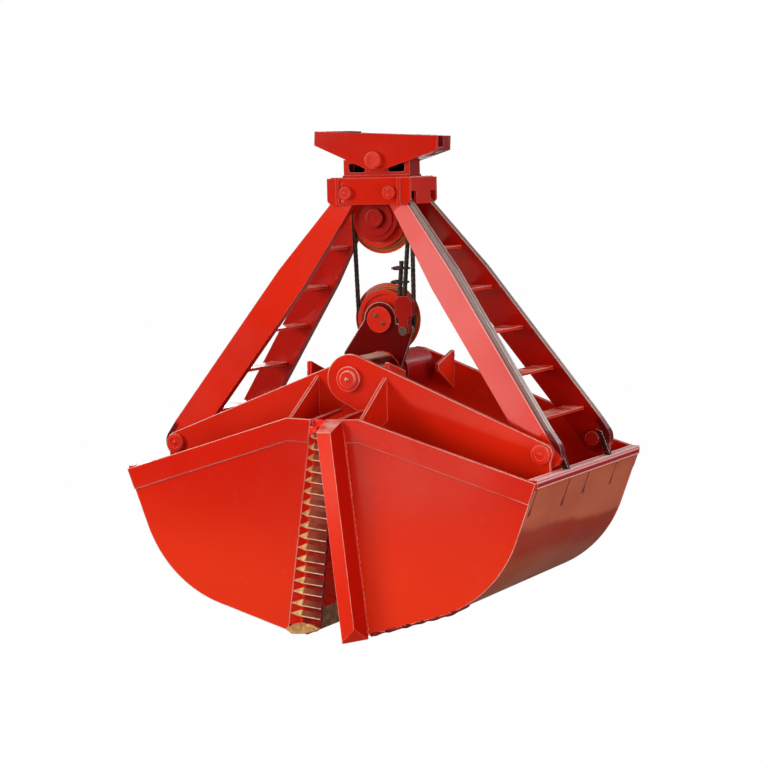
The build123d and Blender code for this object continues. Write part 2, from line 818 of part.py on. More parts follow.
def edge_bar(face):
    """The deep bar on the right jaw's edge, with a sloped top and a cut toe."""
    inner, outer = face * scoop_half_width, face * bar_outer
    turn = radians(jaw_gap_angle)
    top_x, top_z = jaw(bar_blank_top, 0)
    across = Plane((top_x, 0, up(top_z)), x_dir=(cos(turn), 0, sin(turn)), z_dir=(sin(turn), 0, -cos(turn)))
    section = [(mating_gap, inner), (bar_width, inner), (bar_flat, outer), (mating_gap, outer)]
    above_cap = [
        (inner, up(bar_cap_height)),
        (outer, up(bar_cap_height - bar_cap_drop)),
        (outer, up(0)),
        (inner, up(0)),
    ]
    toe_points = [
        (jaw(jaw_bottom - bar_toe_tip, mating_gap), outer),
        (jaw(jaw_bottom - bar_toe_rise, bar_flat), outer),
        (jaw(jaw_bottom, bar_width), inner),
    ]
    toe_tip, toe_front, toe_back = [Vector(x, y, up(z)) for (x, z), y in toe_points]
    toe_normal = (toe_front - toe_tip).cross(toe_back - toe_tip) * face
    with BuildPart() as piece:
        with BuildSketch(across):
            Polygon(*[(x, across.y_dir.Y * y) for x, y in section], align=None)
        extrude(amount=jaw_bottom - bar_blank_top)
        with BuildSketch(Plane.YZ):
            Polygon(*above_cap, align=None)
        extrude(amount=jaw_bottom, both=True, mode=Mode.SUBTRACT)
        split(bisect_by=Plane(toe_tip, z_dir=toe_normal), keep=Keep.BOTTOM)
    return piece


def lap_strip(face):
    """The ribbed strip behind the left jaw's edge. It laps inside the right scoop when the grab shuts."""
    turn = radians(jaw_gap_angle)
    out = Vector(-cos(turn), 0, sin(turn))
    down = (-sin(turn), 0, -cos(turn))
    tip = Vector(0, 0, up(0)) - out * lap_reach
    along = Plane(tip, x_dir=down, z_dir=out)
    edge_top, edge_foot = [
        meet(*mating_edges["left"], jaw(height, 0), jaw(height, lap_root))
        for height in (lap_outline[-1][0], lap_root_foot)
    ]
    roots = [jaw(lap_outline[-1][0], lap_root), jaw(lap_root_foot, lap_root)]
    strip = [*roots, *[jaw(*corner) for corner in lap_outline]]
    toe = [jaw(lap_toe_top, -lap_reach), jaw(lap_toe_top, lap_outline[0][1])]
    toe += [jaw(*corner) for corner in lap_outline[:5]]
    with BuildPart() as piece:
        with BuildSketch(layer(face, lap_inner, lap_face)):
            Polygon(*placed(-1, strip), align=None)
        extrude(amount=lap_face - lap_inner)
        with BuildSketch(layer(face, lap_face, side_plate_inner)):
            Polygon(*placed(-1, [edge_top, edge_foot, *reversed(roots)]), align=None)
        extrude(amount=side_plate_inner - lap_face)
        with BuildSketch(layer(face, lap_face, rib_crest)):
            Polygon(*placed(-1, toe), align=None)
        extrude(amount=rib_crest - lap_face)
        with BuildSketch(along):
            for index in range(rib_count):
                crest = rib_first + index * rib_pitch
                rib = [
                    (crest - rib_slope, face * lap_face),
                    (crest, face * rib_crest),
                    (crest + rib_undercut, face * lap_face),
                ]
                Polygon(*[(x, along.y_dir.Y * y) for x, y in rib], align=None)
        extrude(amount=lap_reach + left_edge_foot)
    return piece


def rim(side):
    """The box tube along a scoop's rear top edge."""
    with BuildPart() as piece:
        with BuildSketch(depth(side_plate_inner)):
            middle = (side * (rim_inner_x + rim_outer_x) / 2, up((rim_bottom + rim_top) / 2))
            width, height = rim_outer_x - rim_inner_x, rim_top - rim_bottom
            with Locations(middle):
                Rectangle(width, height)
                Rectangle(width - 2 * rim_wall, height - 2 * rim_wall, mode=Mode.SUBTRACT)
        extrude(amount=2 * side_plate_inner)
    return piece


def hinge_plate(side, face, inner, boss_radius):
    """The plate that runs from the hinge shaft to the arm's foot pin and the scoop's back."""
    foot = (arm_foot_x, arm_foot_height)
    run = Vector(*foot)
    across = Vector(-run.Y, run.X).normalized()
    back = shell_inner_path[:2]
    notch = rim_bottom - rim_weld_gap
    back_top = meet(*back, (0, notch), (1, notch))
    back_foot = meet(*back, (0, hinge_plate_root), (1, hinge_plate_root))
    outline = [
        (across.X * boss_radius, across.Y * boss_radius),
        (foot[0] + across.X * pin_boss_radius, foot[1] + across.Y * pin_boss_radius),
        (rim_inner_x, foot[1]),
        (rim_inner_x, notch),
        back_top,
        back_foot,
        (-across.X * boss_radius, -across.Y * boss_radius),
    ]
    with BuildPart() as piece:
        with BuildSketch(layer(face, inner, inner + hinge_plate_thickness)):
            Polygon(*placed(side, outline), align=None)
            with Locations((0, up(0))):
                Circle(boss_radius)
                Circle(hinge_shaft_radius + fit, mode=Mode.SUBTRACT)
            with Locations(*placed(side, [foot])):
                Circle(pin_boss_radius)
                Circle(arm_pin_radius + fit, mode=Mode.SUBTRACT)
            with Locations(*placed(side, [((rim_inner_x + rim_outer_x) / 2, (rim_bottom + rim_top) / 2)])):
                Rectangle(rim_outer_x - rim_inner_x, rim_top - rim_bottom, mode=Mode.SUBTRACT)
        extrude(amount=hinge_plate_thickness)
    return piece


def gussets(side, inner, fin_x):
    """Upright plates across the hinge plates: gussets and ties to the scoop's sides, and fins inside."""
    plate_outer = inner + hinge_plate_thickness
    heights = {
        gusset_x: (gusset_top, gusset_foot_top, gusset_foot_bottom, gusset_root),
        tie_x: (tie_root_top, tie_foot_top, tie_foot_bottom, tie_root_bottom),
    }
    with BuildPart() as piece:
        for x, (root_top, foot_top, foot_bottom, root_bottom) in heights.items():
            with BuildSketch(Plane.YZ.offset(x if side > 0 else -x - gusset_thickness)):
                for face in faces.values():
                    Polygon(
                        (face * plate_outer, up(root_top)),
                        (face * side_plate_inner, up(foot_top)),
                        (face * side_plate_inner, up(foot_bottom)),
                        (face * plate_outer, up(root_bottom)),
                        align=None,
                    )
            extrude(amount=gusset_thickness)
        with BuildSketch(Plane.YZ.offset(fin_x if side > 0 else -fin_x - gusset_thickness)):
            for face in faces.values():
                Polygon(
                    (face * inner, up(fin_top)),
                    (face * fin_reach, up(fin_reach_top)),
                    (face * fin_reach, up(fin_reach_bottom)),
                    (face * inner, up(fin_root)),
                    align=None,
                )
        extrude(amount=gusset_thickness)
    return piece


def arm_pins(side, inner):
    """The pins that hold the arm's feet in a scoop's hinge plates."""
    plate_outer = inner + hinge_plate_thickness
    foot = placed(side, [(arm_foot_x, arm_foot_height)])
    with BuildPart() as piece:
        for face in faces.values():
            with BuildSketch(layer(face, arm_pin_inner, plate_outer)):
                with Locations(*foot):
                    Circle(arm_pin_radius)
            extrude(amount=plate_outer - arm_pin_inner)
            with BuildSketch(layer(face, plate_outer, plate_outer + arm_pin_cap)):
                with Locations(*foot):
                    Circle(arm_pin_cap_radius)
            extrude(amount=arm_pin_cap)
            spacer_inner = bar_foot_y + bar_thickness / 2 + bar_side_gap
            with BuildSketch(layer(face, spacer_inner, inner)):
                with Locations(*foot):
                    Circle(arm_pin_cap_radius)
            extrude(amount=inner - spacer_inner)
    return piece


plate_depths = {"left": left_hinge_plate_inner, "right": right_hinge_plate_inner}
fin_places = {"left": left_fin_x, "right": right_fin_x}
for side_name, side in sides.items():
    plate_depth = plate_depths[side_name]
    for face_name, face in faces.items():
        boss_radius = front_right_boss_radius if side > 0 > face else hinge_boss_radius
        finish(side_plate(side_name, face), f"{side_name}_scoop_{face_name}_side")
        arm_plate = hinge_plate(side, face, plate_depth, boss_radius)
        finish(arm_plate, f"{side_name}_scoop_{face_name}_hinge_plate")
        if side > 0:
            finish(edge_bar(face), f"right_scoop_{face_name}_edge_bar")
        else:
            finish(lap_strip(face), f"left_scoop_{face_name}_lap_strip")
    finish(shell(side), f"{side_name}_scoop_shell")
    finish(lip(side), f"{side_name}_scoop_lip")
    finish(rim(side), f"{side_name}_scoop_rim")
    finish(gussets(side, plate_depth, fin_places[side_name]), f"{side_name}_scoop_gussets")
    finish(arm_pins(side, plate_depth), f"{side_name}_scoop_arm_pins")

# Arms: two flat bars and five steps each
arm_run = Vector(arm_foot_x - arm_top_x, arm_foot_height - arm_top_height)
arm_length = arm_run.length
arm_down = arm_run.normalized()
bar_splay = (bar_foot_y - bar_top_y) / (bar_bend_foot - bar_bend_top)


def arm_bar(side, face):
    """One flat bar of an arm, splayed between its bends, with a pin eye at each end."""
    top = (side * arm_top_x, 0, up(arm_top_height))
    down = (side * arm_down.X, 0, arm_down.Y)
    outward = (-side * arm_down.Y, 0, arm_down.X)
    half = bar_thickness / 2
    bends = [
        (-2 * bar_half_width, bar_top_y),
        (bar_bend_top, bar_top_y),
        (bar_bend_foot, bar_foot_y),
        (arm_length + 2 * bar_half_width, bar_foot_y),
    ]
    plan = [(u, face * (y - half)) for u, y in bends] + [(u, face * (y + half)) for u, y in reversed(bends)]
    profile = [
        (0, bar_top_radius),
        (bar_full_width_at, bar_half_width),
        (arm_length, bar_foot_radius),
        (arm_length, -bar_foot_radius),
        (bar_full_width_at, -bar_half_width),
        (0, -bar_top_radius),
    ]
    from_above = Plane(top, x_dir=down, z_dir=outward)
    from_front = Plane(top, x_dir=down, z_dir=(0, -side, 0))
    flip = from_above.y_dir.Y
    with BuildPart() as piece:
        with BuildSketch(from_above):
            Polygon(*[(u, flip * y) for u, y in plan], align=None)
        extrude(amount=1.5 * bar_half_width, both=True)
        with BuildSketch(from_front):
            Polygon(*profile, align=None)
            Circle(bar_top_radius)
            Circle(bar_eye_radius, mode=Mode.SUBTRACT)
            with Locations((arm_length, 0)):
                Circle(bar_foot_radius)
                Circle(arm_pin_radius + fit, mode=Mode.SUBTRACT)
        extrude(amount=2 * bar_foot_y, both=True, mode=Mode.INTERSECT)
    return piece


def rungs(side):
    """The level steps between an arm's bars."""
    with BuildPart() as piece:
        for index in range(rung_count):
            along = rung_first + index * rung_pitch
            middle_x = arm_top_x + along * arm_down.X
            top = arm_top_height + along * arm_down.Y
            corners = []
            for x in (middle_x - rung_depth / 2, middle_x + rung_depth / 2):
                place = (x - arm_top_x) * arm_down.X + (top - arm_top_height) * arm_down.Y
                bar_y = bar_top_y + (place - bar_bend_top) * bar_splay
                corners.append((side * x, bar_y - bar_thickness / 2))
            (near_x, near_y), (far_x, far_y) = corners
            with BuildSketch(Plane.XY.offset(up(top) - rung_thickness)):
                Polygon((near_x, near_y), (far_x, far_y), (far_x, -far_y), (near_x, -near_y), align=None)
            extrude(amount=rung_thickness)
    return piece


for side_name, side in sides.items():
    for face_name, face in faces.items():
        finish(arm_bar(side, face), f"{side_name}_arm_{face_name}_bar")
    finish(rungs(side), f"{side_name}_arm_steps")
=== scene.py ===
from math import cos, pi, radians, sin

import bmesh
import bpy
from mathutils import Matrix, Vector


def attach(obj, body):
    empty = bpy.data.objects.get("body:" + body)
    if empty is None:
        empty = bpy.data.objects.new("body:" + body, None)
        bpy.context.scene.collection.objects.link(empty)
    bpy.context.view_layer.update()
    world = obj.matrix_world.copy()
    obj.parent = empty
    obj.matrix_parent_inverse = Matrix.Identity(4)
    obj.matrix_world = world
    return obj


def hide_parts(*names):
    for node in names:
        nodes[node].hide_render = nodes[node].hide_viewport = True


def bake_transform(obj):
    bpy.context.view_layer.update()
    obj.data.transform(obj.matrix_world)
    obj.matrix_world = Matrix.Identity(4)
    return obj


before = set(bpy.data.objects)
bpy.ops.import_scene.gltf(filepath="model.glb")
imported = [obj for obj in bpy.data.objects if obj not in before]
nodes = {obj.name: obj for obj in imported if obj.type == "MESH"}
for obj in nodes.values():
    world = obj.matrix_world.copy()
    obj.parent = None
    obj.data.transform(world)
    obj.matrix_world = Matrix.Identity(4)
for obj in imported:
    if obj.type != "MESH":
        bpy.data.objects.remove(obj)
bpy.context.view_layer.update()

scene = bpy.context.scene
for spare in ("Cube", "Light", "Camera"):
    if spare in bpy.data.objects and spare not in nodes:
        bpy.data.objects.remove(bpy.data.objects[spare])
print("frame loaded:", len(nodes), "nodes")

# Places on the grab, metres, repeated from the solids
hingeZ = -1.064
upperAxleZ = -0.288
lowerAxleZ = -0.797
upperSheaveY = -0.019
lowerSheaveY = 0.017
socketTopZ = -0.677
headTopZ = -0.087
headBottomZ = -0.219
jawAngle = radians(6.2)
beamTilt = radians(3.2)
sides = {"left": -1, "right": 1}
faces = {"front": -1, "back": 1}
hingePlateInner = {"left": 0.372, "right": 0.400}
hingePlateThickness = 0.025
sidePlateInner = 0.721
finPlaces = {"left": 0.236, "right": 0.184}
lipHalves = {"left": 0.686, "right": 0.681}
shellCentre = (0.4141, -0.5061)
armTop = Vector((0.119, 0, -0.161))
armFoot = Vector((1.0, 0, -1.407))
armDown = (armFoot - armTop).normalized()
armSplay = {"along": (0.080, 1.440), "y": (0.116, 0.344)}
ropePitch = 0.153


def jawPoint(side, along, out, y):
    x = side * (along * sin(jawAngle) + out * cos(jawAngle))
    return Vector((x, y, hingeZ - along * cos(jawAngle) + out * sin(jawAngle)))


def scoopPoint(side, x, y, z):
    return Vector((side * x, y, hingeZ + z))


def beamPoint(x, y, z):
    return Vector((x * cos(beamTilt) + z * sin(beamTilt), y, z * cos(beamTilt) - x * sin(beamTilt)))


# Node helpers: plugs named by socket, spaces written as _, i0 i1 ... for a socket's number
def put(tree, kind, settings=None, **plugs):
    made = tree.nodes.new(kind)
    for key, value in (settings or {}).items():
        setattr(made, key, value)
    for key, value in plugs.items():
        numbered = key[0] == "i" and key[1:].isdigit()
        socket = made.inputs[int(key[1:]) if numbered else key.replace("_", " ")]
        if isinstance(value, bpy.types.NodeSocket):
            tree.links.new(value, socket)
        else:
            socket.default_value = value
    return made.outputs


def send(sockets, **results):
    for key, value in results.items():
        value.id_data.links.new(value, sockets[key.replace("_", " ")])


# The helpers below work in the tree of the sockets they are given
def treeOf(*values):
    return next(value.id_data for value in values if isinstance(value, bpy.types.NodeSocket))


def calc(operation, first, second=0.0, clamp=False):
    settings = {"operation": operation, "use_clamp": clamp}
    return put(treeOf(first, second), "ShaderNodeMath", settings, i0=first, i1=second)[0]


def times(first, second):
    return calc("MULTIPLY", first, second)


def plus(first, second):
    return calc("ADD", first, second)


def minus(first, second):
    return calc("SUBTRACT", first, second)


def absolute(value):
    return calc("ABSOLUTE", value)


def vectorCalc(operation, first, second):
    return put(first.id_data, "ShaderNodeVectorMath", {"operation": operation}, i0=first, i1=second)


def dot(first, second):
    return vectorCalc("DOT_PRODUCT", first, second)["Value"]


def scaled(vector, share):
    return put(vector.id_data, "ShaderNodeVectorMath", {"operation": "SCALE"}, i0=vector, Scale=share)[0]


def axes(vector):
    return put(vector.id_data, "ShaderNodeSeparateXYZ", None, Vector=vector)


def coordinates(tree):
    return put(tree, "ShaderNodeTexCoord")


def ramp(value, low, high, toLow=0.0, toHigh=1.0, smooth=True):
    settings = {"interpolation_type": "SMOOTHSTEP" if smooth else "LINEAR", "clamp": True}
    ends = {"From_Min": low, "From_Max": high, "To_Min": toLow, "To_Max": toHigh}
    return put(value.id_data, "ShaderNodeMapRange", settings, Value=value, **ends)[0]


def opaque(colour):
    return colour if isinstance(colour, bpy.types.NodeSocket) else (*colour, 1.0)


def mixColour(share, first, second):
    ends = {"i6": opaque(first), "i7": opaque(second)}
    return put(treeOf(share, first), "ShaderNodeMix", {"data_type": "RGBA"}, i0=share, **ends)[2]


def mixValue(share, first, second):
    return put(share.id_data, "ShaderNodeMix", {"data_type": "FLOAT"}, i0=share, i2=first, i3=second)[0]


def noise(place, scale, detail=3.0, roughness=0.55):
    values = {"Scale": scale, "Detail": detail, "Roughness": roughness}
    return put(place.id_data, "ShaderNodeTexNoise", {"noise_dimensions": "3D"}, Vector=place, **values)[0]


def stretched(place, scale, location=(0, 0, 0)):
    return put(place.id_data, "ShaderNodeMapping", None, Vector=place, Scale=scale, Location=location)[0]


def bump(strength, distance, height, normal):
    values = {"Strength": strength, "Distance": distance, "Height": height, "Normal": normal}
    return put(height.id_data, "ShaderNodeBump", None, **values)[0]


# Shared effects: a group's inputs have starting values, and its outputs are values unless listed here
groupKinds = {"Normal": "NodeSocketVector", "Colour": "NodeSocketColor"}


def shaderGroup(name, inputs, *outputs):
    tree = bpy.data.node_groups.new(name, "ShaderNodeTree")
    for label, value in inputs.items():
        tree.interface.new_socket(label, in_out="INPUT", socket_type="NodeSocketFloat").default_value = value
    for label in outputs:
        kind = groupKinds.get(label, "NodeSocketFloat")
        tree.interface.new_socket(label, in_out="OUTPUT", socket_type=kind)
    start = put(tree, "NodeGroupInput")
    end = tree.nodes.new("NodeGroupOutput").inputs
    return tree, start, end, coordinates(tree)


def placeGroup(tree, group, **values):
    return put(tree, "ShaderNodeGroup", {"node_tree": group}, **values)


# Worn edges with painted highlight: the rounded normal and a broken line where plates end, full on edges
# facing up and cut to the Under share on edges facing down
def makeEdgeWearAndHighlight():
    inputs = {"Radius": 0.004, "Line": 0.5, "Patch Scale": 7.0, "Under": 0.30}
    tree, start, end, place = shaderGroup("edgeWearAndHighlight", inputs, "Mask", "Normal")
    rounded = put(tree, "ShaderNodeBevel", {"samples": 6}, Radius=start["Radius"])[0]
    flat = put(tree, "ShaderNodeNewGeometry")["Normal"]
    line = ramp(dot(rounded, flat), 0.990, 0.86)
    broken = ramp(noise(place["Object"], start["Patch Scale"], 4.0), 0.36, 0.58, 0.62, 1.0)
    # Painted highlight: edges facing up keep the whole line, edges facing down only the Under share
    broken = times(broken, ramp(axes(rounded)["Z"], -0.60, 0.45, start["Under"], 1.0))
    send(end, Mask=times(times(line, broken), start["Line"]), Normal=rounded)
    return tree


# Sprayed paint: slow change of tone, fine orange peel, uneven gloss
def makePaintSkin():
    inputs = {"Tone Scale": 1.1, "Peel Scale": 130.0}
    tree, start, end, place = shaderGroup("paintSkin", inputs, "Tone", "Peel", "Gloss")
    tone = ramp(noise(place["Object"], start["Tone Scale"], 2.0), 0.30, 0.70)
    peel = noise(place["Object"], start["Peel Scale"], 2.0)
    gloss = ramp(noise(place["Object"], 5.5, 4.0, 0.6), 0.30, 0.70)
    send(end, Tone=tone, Peel=peel, Gloss=gloss)
    return tree


# Yard dirt: runs down upright faces, a top layer that is dust on some parts and painted highlight on others,
# small chips
def makeYardDirt():
    inputs = {"Run Scale": 11.0, "Chip Scale": 42.0}
    tree, start, end, place = shaderGroup("yardDirt", inputs, "Runs", "Dust", "Chips")
    long = stretched(place["Object"], (1.0, 1.0, 0.07))
    runs = ramp(noise(long, start["Run Scale"], 4.0, 0.6), 0.52, 0.74)
    runs = times(runs, ramp(noise(place["Object"], 2.3, 3.0), 0.42, 0.66))
    # Top layer on faces turned up: dust, or painted highlight where a part's colour for it is pale pink
    dustAndTopHighlight = ramp(axes(place["Normal"])["Z"], 0.55, 0.95)
    dustAndTopHighlight = times(dustAndTopHighlight, ramp(noise(place["Object"], 9.0, 4.0), 0.35, 0.65))
    chips = ramp(noise(place["Object"], start["Chip Scale"], 3.0), 0.69, 0.73)
    send(end, Runs=runs, Dust=dustAndTopHighlight, Chips=chips)
    return tree


# Rust and bare steel, mottled
def makeRustSkin():
    tree, start, end, place = shaderGroup("rustSkin", {"Scale": 22.0}, "Colour", "Spots", "Grain")
    spots = ramp(noise(place["Object"], start["Scale"], 5.0, 0.62), 0.32, 0.68)
    colour = mixColour(spots, (0.11, 0.032, 0.010), (0.40, 0.125, 0.028))
    send(end, Colour=colour, Spots=spots, Grain=noise(place["Object"], 160.0, 3.0))
    return tree


edgeWearAndHighlight = makeEdgeWearAndHighlight()
paintSkin = makePaintSkin()
yardDirt = makeYardDirt()
rustSkin = makeRustSkin()


def newMaterial(name, **plain):
    made = bpy.data.materials.new(name)
    made.use_nodes = True
    tree = made.node_tree
    shader = tree.nodes["Principled BSDF"]
    for key, value in plain.items():
        shader.inputs[key.replace("_", " ")].default_value = value
    return made, tree, shader


# Red paint, one recipe with its own values for each part of the grab
redLooks = {
    "deep": (0.60, 0.0130, 0.0018),
    "bright": (0.74, 0.0200, 0.0030),
    # Edge colour: bared primer, and painted highlight on edges facing up
    "primerAndHighlight": (1.0, 0.80, 0.67),
    "grime": (0.060, 0.012, 0.008),
    "dustAndTopHighlight": (0.46, 0.20, 0.13),
    "chip": (0.10, 0.020, 0.012),
    "rough": (0.20, 0.28),
    "line": 0.55,
    "radius": 0.0040,
    "runs": 0.16,
    "dustAndTopHighlightShare": 0.20,
    "chips": 0.35,
    "toneScale": 1.1,
    "gloss": 0.26,
    # Share of the edge line, painted highlight, on edges facing down, above and below the heights in underZ
    "under": (0.30, 0.30),
    "underZ": (-1.575, -1.600),
}
redCoat = {"Coat_Weight": 0.04, "Coat_Roughness": 0.10, "IOR": 1.46}
dirtLayers = (("Runs", "runs", "grime"), ("Dust", "dustAndTopHighlightShare", "dustAndTopHighlight"), ("Chips", "chips", "chip"))


def redPaint(name, overlay=None, **changes):
    look = {**redLooks, **changes}
    made, tree, shader = newMaterial(name, Specular_IOR_Level=look["gloss"], **redCoat)
    skin = placeGroup(tree, paintSkin, Tone_Scale=look["toneScale"])
    under = ramp(axes(coordinates(tree)["Object"])["Z"], *look["underZ"], *look["under"])
    wearAndHighlight = placeGroup(tree, edgeWearAndHighlight, Radius=look["radius"], Line=look["line"], Under=under)
    dirt = placeGroup(tree, yardDirt)
    colour = mixColour(skin["Tone"], look["deep"], look["bright"])
    for mask, share, tone in dirtLayers:
        colour = mixColour(times(dirt[mask], look[share]), colour, look[tone])
    rough = ramp(skin["Gloss"], 0.0, 1.0, *look["rough"], smooth=False)
    rough = calc("ADD", rough, times(dirt["Dust"], 0.25), clamp=True)
    if overlay:
        colour, rough = overlay(tree, colour, rough)
    colour = mixColour(wearAndHighlight["Mask"], colour, look["primerAndHighlight"])
    peel = bump(0.06, 0.0005, skin["Peel"], wearAndHighlight["Normal"])
    send(shader.inputs, Base_Color=colour, Roughness=rough, Normal=peel)
    return made


# The shell's outside: mottled terracotta, drips under the rim, and a painted reflection of the ground: a
# dark band, tan below
shellLooks = {
    "thin": (0.50, 0.088, 0.038),
    "pale": (0.62, 0.150, 0.070),
    "band": (0.40, 0.030, 0.008),
    "tan": (0.43, 0.074, 0.023),
    "drip": (0.12, 0.015, 0.009),
    "bandZ": (-1.805, -1.845, -1.925, -2.010),
    "lean": 0.065,
    "dripEnd": 0.012,
    "dripNeck": 0.065,
    "drips": (  # y, half width, foot
        (-0.685, 0.019, -1.675),
        (-0.25, 0.021, -1.680),
        (0.02, 0.020, -1.655),
        (0.42, 0.018, -1.660),
    ),
}


def shellOverlay(side):
    look = shellLooks

    def overlay(tree, colour, rough):
        place = coordinates(tree)
        outside = ramp(dot(place["Normal"], (0.75 * side, 0.0, -0.66)), 0.25, 0.45)
        parts = axes(place["Object"])
        wide = stretched(place["Object"], (1.0, 0.45, 1.0))
        cloud = ramp(noise(wide, 3.2, 4.0, 0.6), 0.30, 0.72)
        wobble = times(minus(noise(place["Object"], 3.0, 2.0), 0.5), 0.06)
        lean = times(minus(parts["Y"], 0.72), look["lean"])
        height = plus(plus(parts["Z"], wobble), lean)
        surfaceTone = mixColour(cloud, look["thin"], look["pale"])
        # Painted reflection of the ground: a dark band, then tan lower down
        surfaceTone = mixColour(ramp(height, *look["bandZ"][:2]), surfaceTone, look["band"])
        surfaceTone = mixColour(ramp(height, *look["bandZ"][2:]), surfaceTone, look["tan"])
        sway = plus(parts["Y"], times(wobble, 0.4))
        for y, half, low in look["drips"]:
            bulb = low + look["dripEnd"]
            width = ramp(parts["Z"], low + look["dripNeck"], bulb, half * 0.5, half)
            drip = ramp(minus(absolute(minus(sway, y)), width), 0.0, -0.006)
            drip = times(drip, ramp(parts["Z"], low, bulb))
            surfaceTone = mixColour(times(drip, 0.85), surfaceTone, look["drip"])
        surfaceRough = ramp(cloud, 0.0, 1.0, 0.34, 0.52, smooth=False)
        return mixColour(outside, colour, surfaceTone), mixValue(outside, rough, surfaceRough)

    return overlay


# The rim: pale painted highlight on the top with a dark line along it; crimson painted shade on the outside,
# with a painted highlight along its upper part, a dark line and a pale line at its foot
rimLooks = {
    "pale": (1.0, 0.60, 0.58),
    "crimson": (0.36, 0.006, 0.016),
    "shine": (0.90, 0.42, 0.42),
    "foot": (0.80, 0.42, 0.28),
    "scoreX": 1.064,
    "scoreZ": -1.4985,
    "shineZ": (-1.5110, -1.5060),
    "footZ": (-1.5245, -1.5270),
}


def rimOverlay(tree, colour, rough):
    look = rimLooks
    place = coordinates(tree)
    parts = axes(place["Object"])
    turned = axes(place["Normal"])
    fromScore = absolute(minus(absolute(parts["X"]), look["scoreX"]))
    fromLine = absolute(minus(parts["Z"], look["scoreZ"]))
    # Top: painted highlight; outside: painted shade with a painted highlight band
    top = mixColour(ramp(fromScore, 0.005, 0.002), look["pale"], look["crimson"])
    side = mixColour(ramp(parts["Z"], *look["shineZ"]), look["crimson"], look["shine"])
    side = mixColour(ramp(fromLine, 0.0030, 0.0010, 0.0, 0.7), side, look["crimson"])
    side = mixColour(ramp(parts["Z"], *look["footZ"]), side, look["foot"])
    colour = mixColour(ramp(turned["Z"], 0.6, 0.8), colour, top)
    return mixColour(ramp(absolute(turned["X"]), 0.6, 0.8), colour, side), rough


# Arm bars: on the outer edges a black line, a grey-brown stripe and cream painted highlight; painted shade
# on the inner edges and feet; where asked for, a painted border: a highlight line, a shaded crimson band, a
# grey-brown stripe and a black line
armLooks = {
    "stripe": (0.20, 0.095, 0.075),
    "cream": (0.50, 0.28, 0.23),
    "pale": (0.86, 0.34, 0.29),
    "crimson": (0.13, 0.003, 0.004),
    "gap": (0.045, 0.005, 0.005),
    "shade": (0.34, 0.006, 0.004),
    "foot": (1.44, 1.47),
    "widening": (0.0, 0.520, 0.045, 0.080),
    "borderZone": (0.075, 0.095),
    "duller": 0.12,
    "border": ((0.61, "pale"), (0.66, "crimson"), (0.82, "stripe"), (0.94, "gap")),
    "blur": 0.012,
}


def armOverlay(side, bordered=False):
    look = armLooks
    outwards = (-side * armDown.z, 0.0, armDown.x)

    def overlay(tree, colour, rough):
        place = coordinates(tree)
        run = dot(place["Object"], (side * armDown.x, 0.0, armDown.z))
        along = minus(run, armTop.dot(armDown))
        middle = ramp(along, *armSplay["along"], *armSplay["y"], smooth=False)
        across = absolute(minus(absolute(axes(place["Object"])["Y"]), middle))
        facing = dot(place["Normal"], outwards)
        foot = ramp(along, *look["foot"])
        # Outer edges: black line, grey-brown stripe, cream painted highlight; crimson painted shade at the
        # feet
        edge = mixColour(ramp(across, 0.003, 0.006), look["gap"], look["stripe"])
        edge = mixColour(ramp(across, 0.015, 0.018), edge, look["cream"])
        edge = mixColour(foot, edge, look["crimson"])
        outward = dot(place["Object"], outwards)
        fromMiddle = minus(outward, armTop.z * armDown.x - armTop.x * armDown.z)
        share = calc("DIVIDE", fromMiddle, ramp(along, *look["widening"], smooth=False))
        border = colour
        # Painted border: highlight line, shaded band, stripe, black line
        for first, tone in look["border"] if bordered else ():
            step = ramp(share, first - look["blur"], first + look["blur"])
            border = mixColour(step, border, look[tone])
        border = mixColour(times(foot, ramp(share, 0.60, 0.63)), border, look["crimson"])
        colour = mixColour(ramp(along, *look["borderZone"]), colour, border)
        colour = mixColour(ramp(facing, 0.5, 0.7), colour, edge)
        # Painted shade on the inner edges
        colour = mixColour(ramp(facing, -0.5, -0.7, 0.0, 0.85), colour, look["shade"])
        return colour, plus(rough, ramp(along, 0.0, 0.60, look["duller"], 0.0))

    return overlay


# A sheave's groove, run bare by the rope
grooveLooks = {
    "inner": (0.1375, 0.1395),
    "half": (0.0195, 0.0175),
    "polish": (0.60, 0.120, 0.018),
    "scored": (0.085, 0.010, 0.005),
    "pitch": 0.011,
}


def grooveOverlay(axleZ, rimY):
    look = grooveLooks

    def overlay(tree, colour, rough):
        local = stretched(coordinates(tree)["Object"], (1, 1, 1), (0, -rimY, -axleZ))
        parts = axes(local)
        flat = put(tree, "ShaderNodeCombineXYZ", None, X=parts["X"], Z=parts["Z"])[0]
        radius = put(tree, "ShaderNodeVectorMath", {"operation": "LENGTH"}, i0=flat)["Value"]
        inside = ramp(radius, *look["inner"])
        inside = times(inside, ramp(absolute(parts["Y"]), *look["half"]))
        rust = placeGroup(tree, rustSkin, Scale=34.0)
        surfaceTone = mixColour(0.70, rust["Colour"], look["polish"])
        wave = calc("SINE", times(radius, 2 * pi / look["pitch"]))
        surfaceTone = mixColour(ramp(wave, 0.1, 0.8, 0.0, 0.85), surfaceTone, look["scored"])
        return mixColour(inside, colour, surfaceTone), mixValue(inside, rough, 0.40)

    return overlay


# Distance out from the left jaw's mating plane
def jawOut(place):
    across = dot(place, (-cos(jawAngle), 0.0, sin(jawAngle)))
    return minus(across, hingeZ * sin(jawAngle))


# The lap strips: painted shade, mottled dark red, towards the mouth; painted light, a brighter red, at the
# plate's edge
lapLooks = {
    "greased": (0.16, 0.004, 0.003),
    "thin": (0.32, 0.006, 0.004),
    "litRed": (0.92, 0.020, 0.008),
    "mouth": (0.038, 0.012),
    "topZ": (-1.285, -1.300),
}


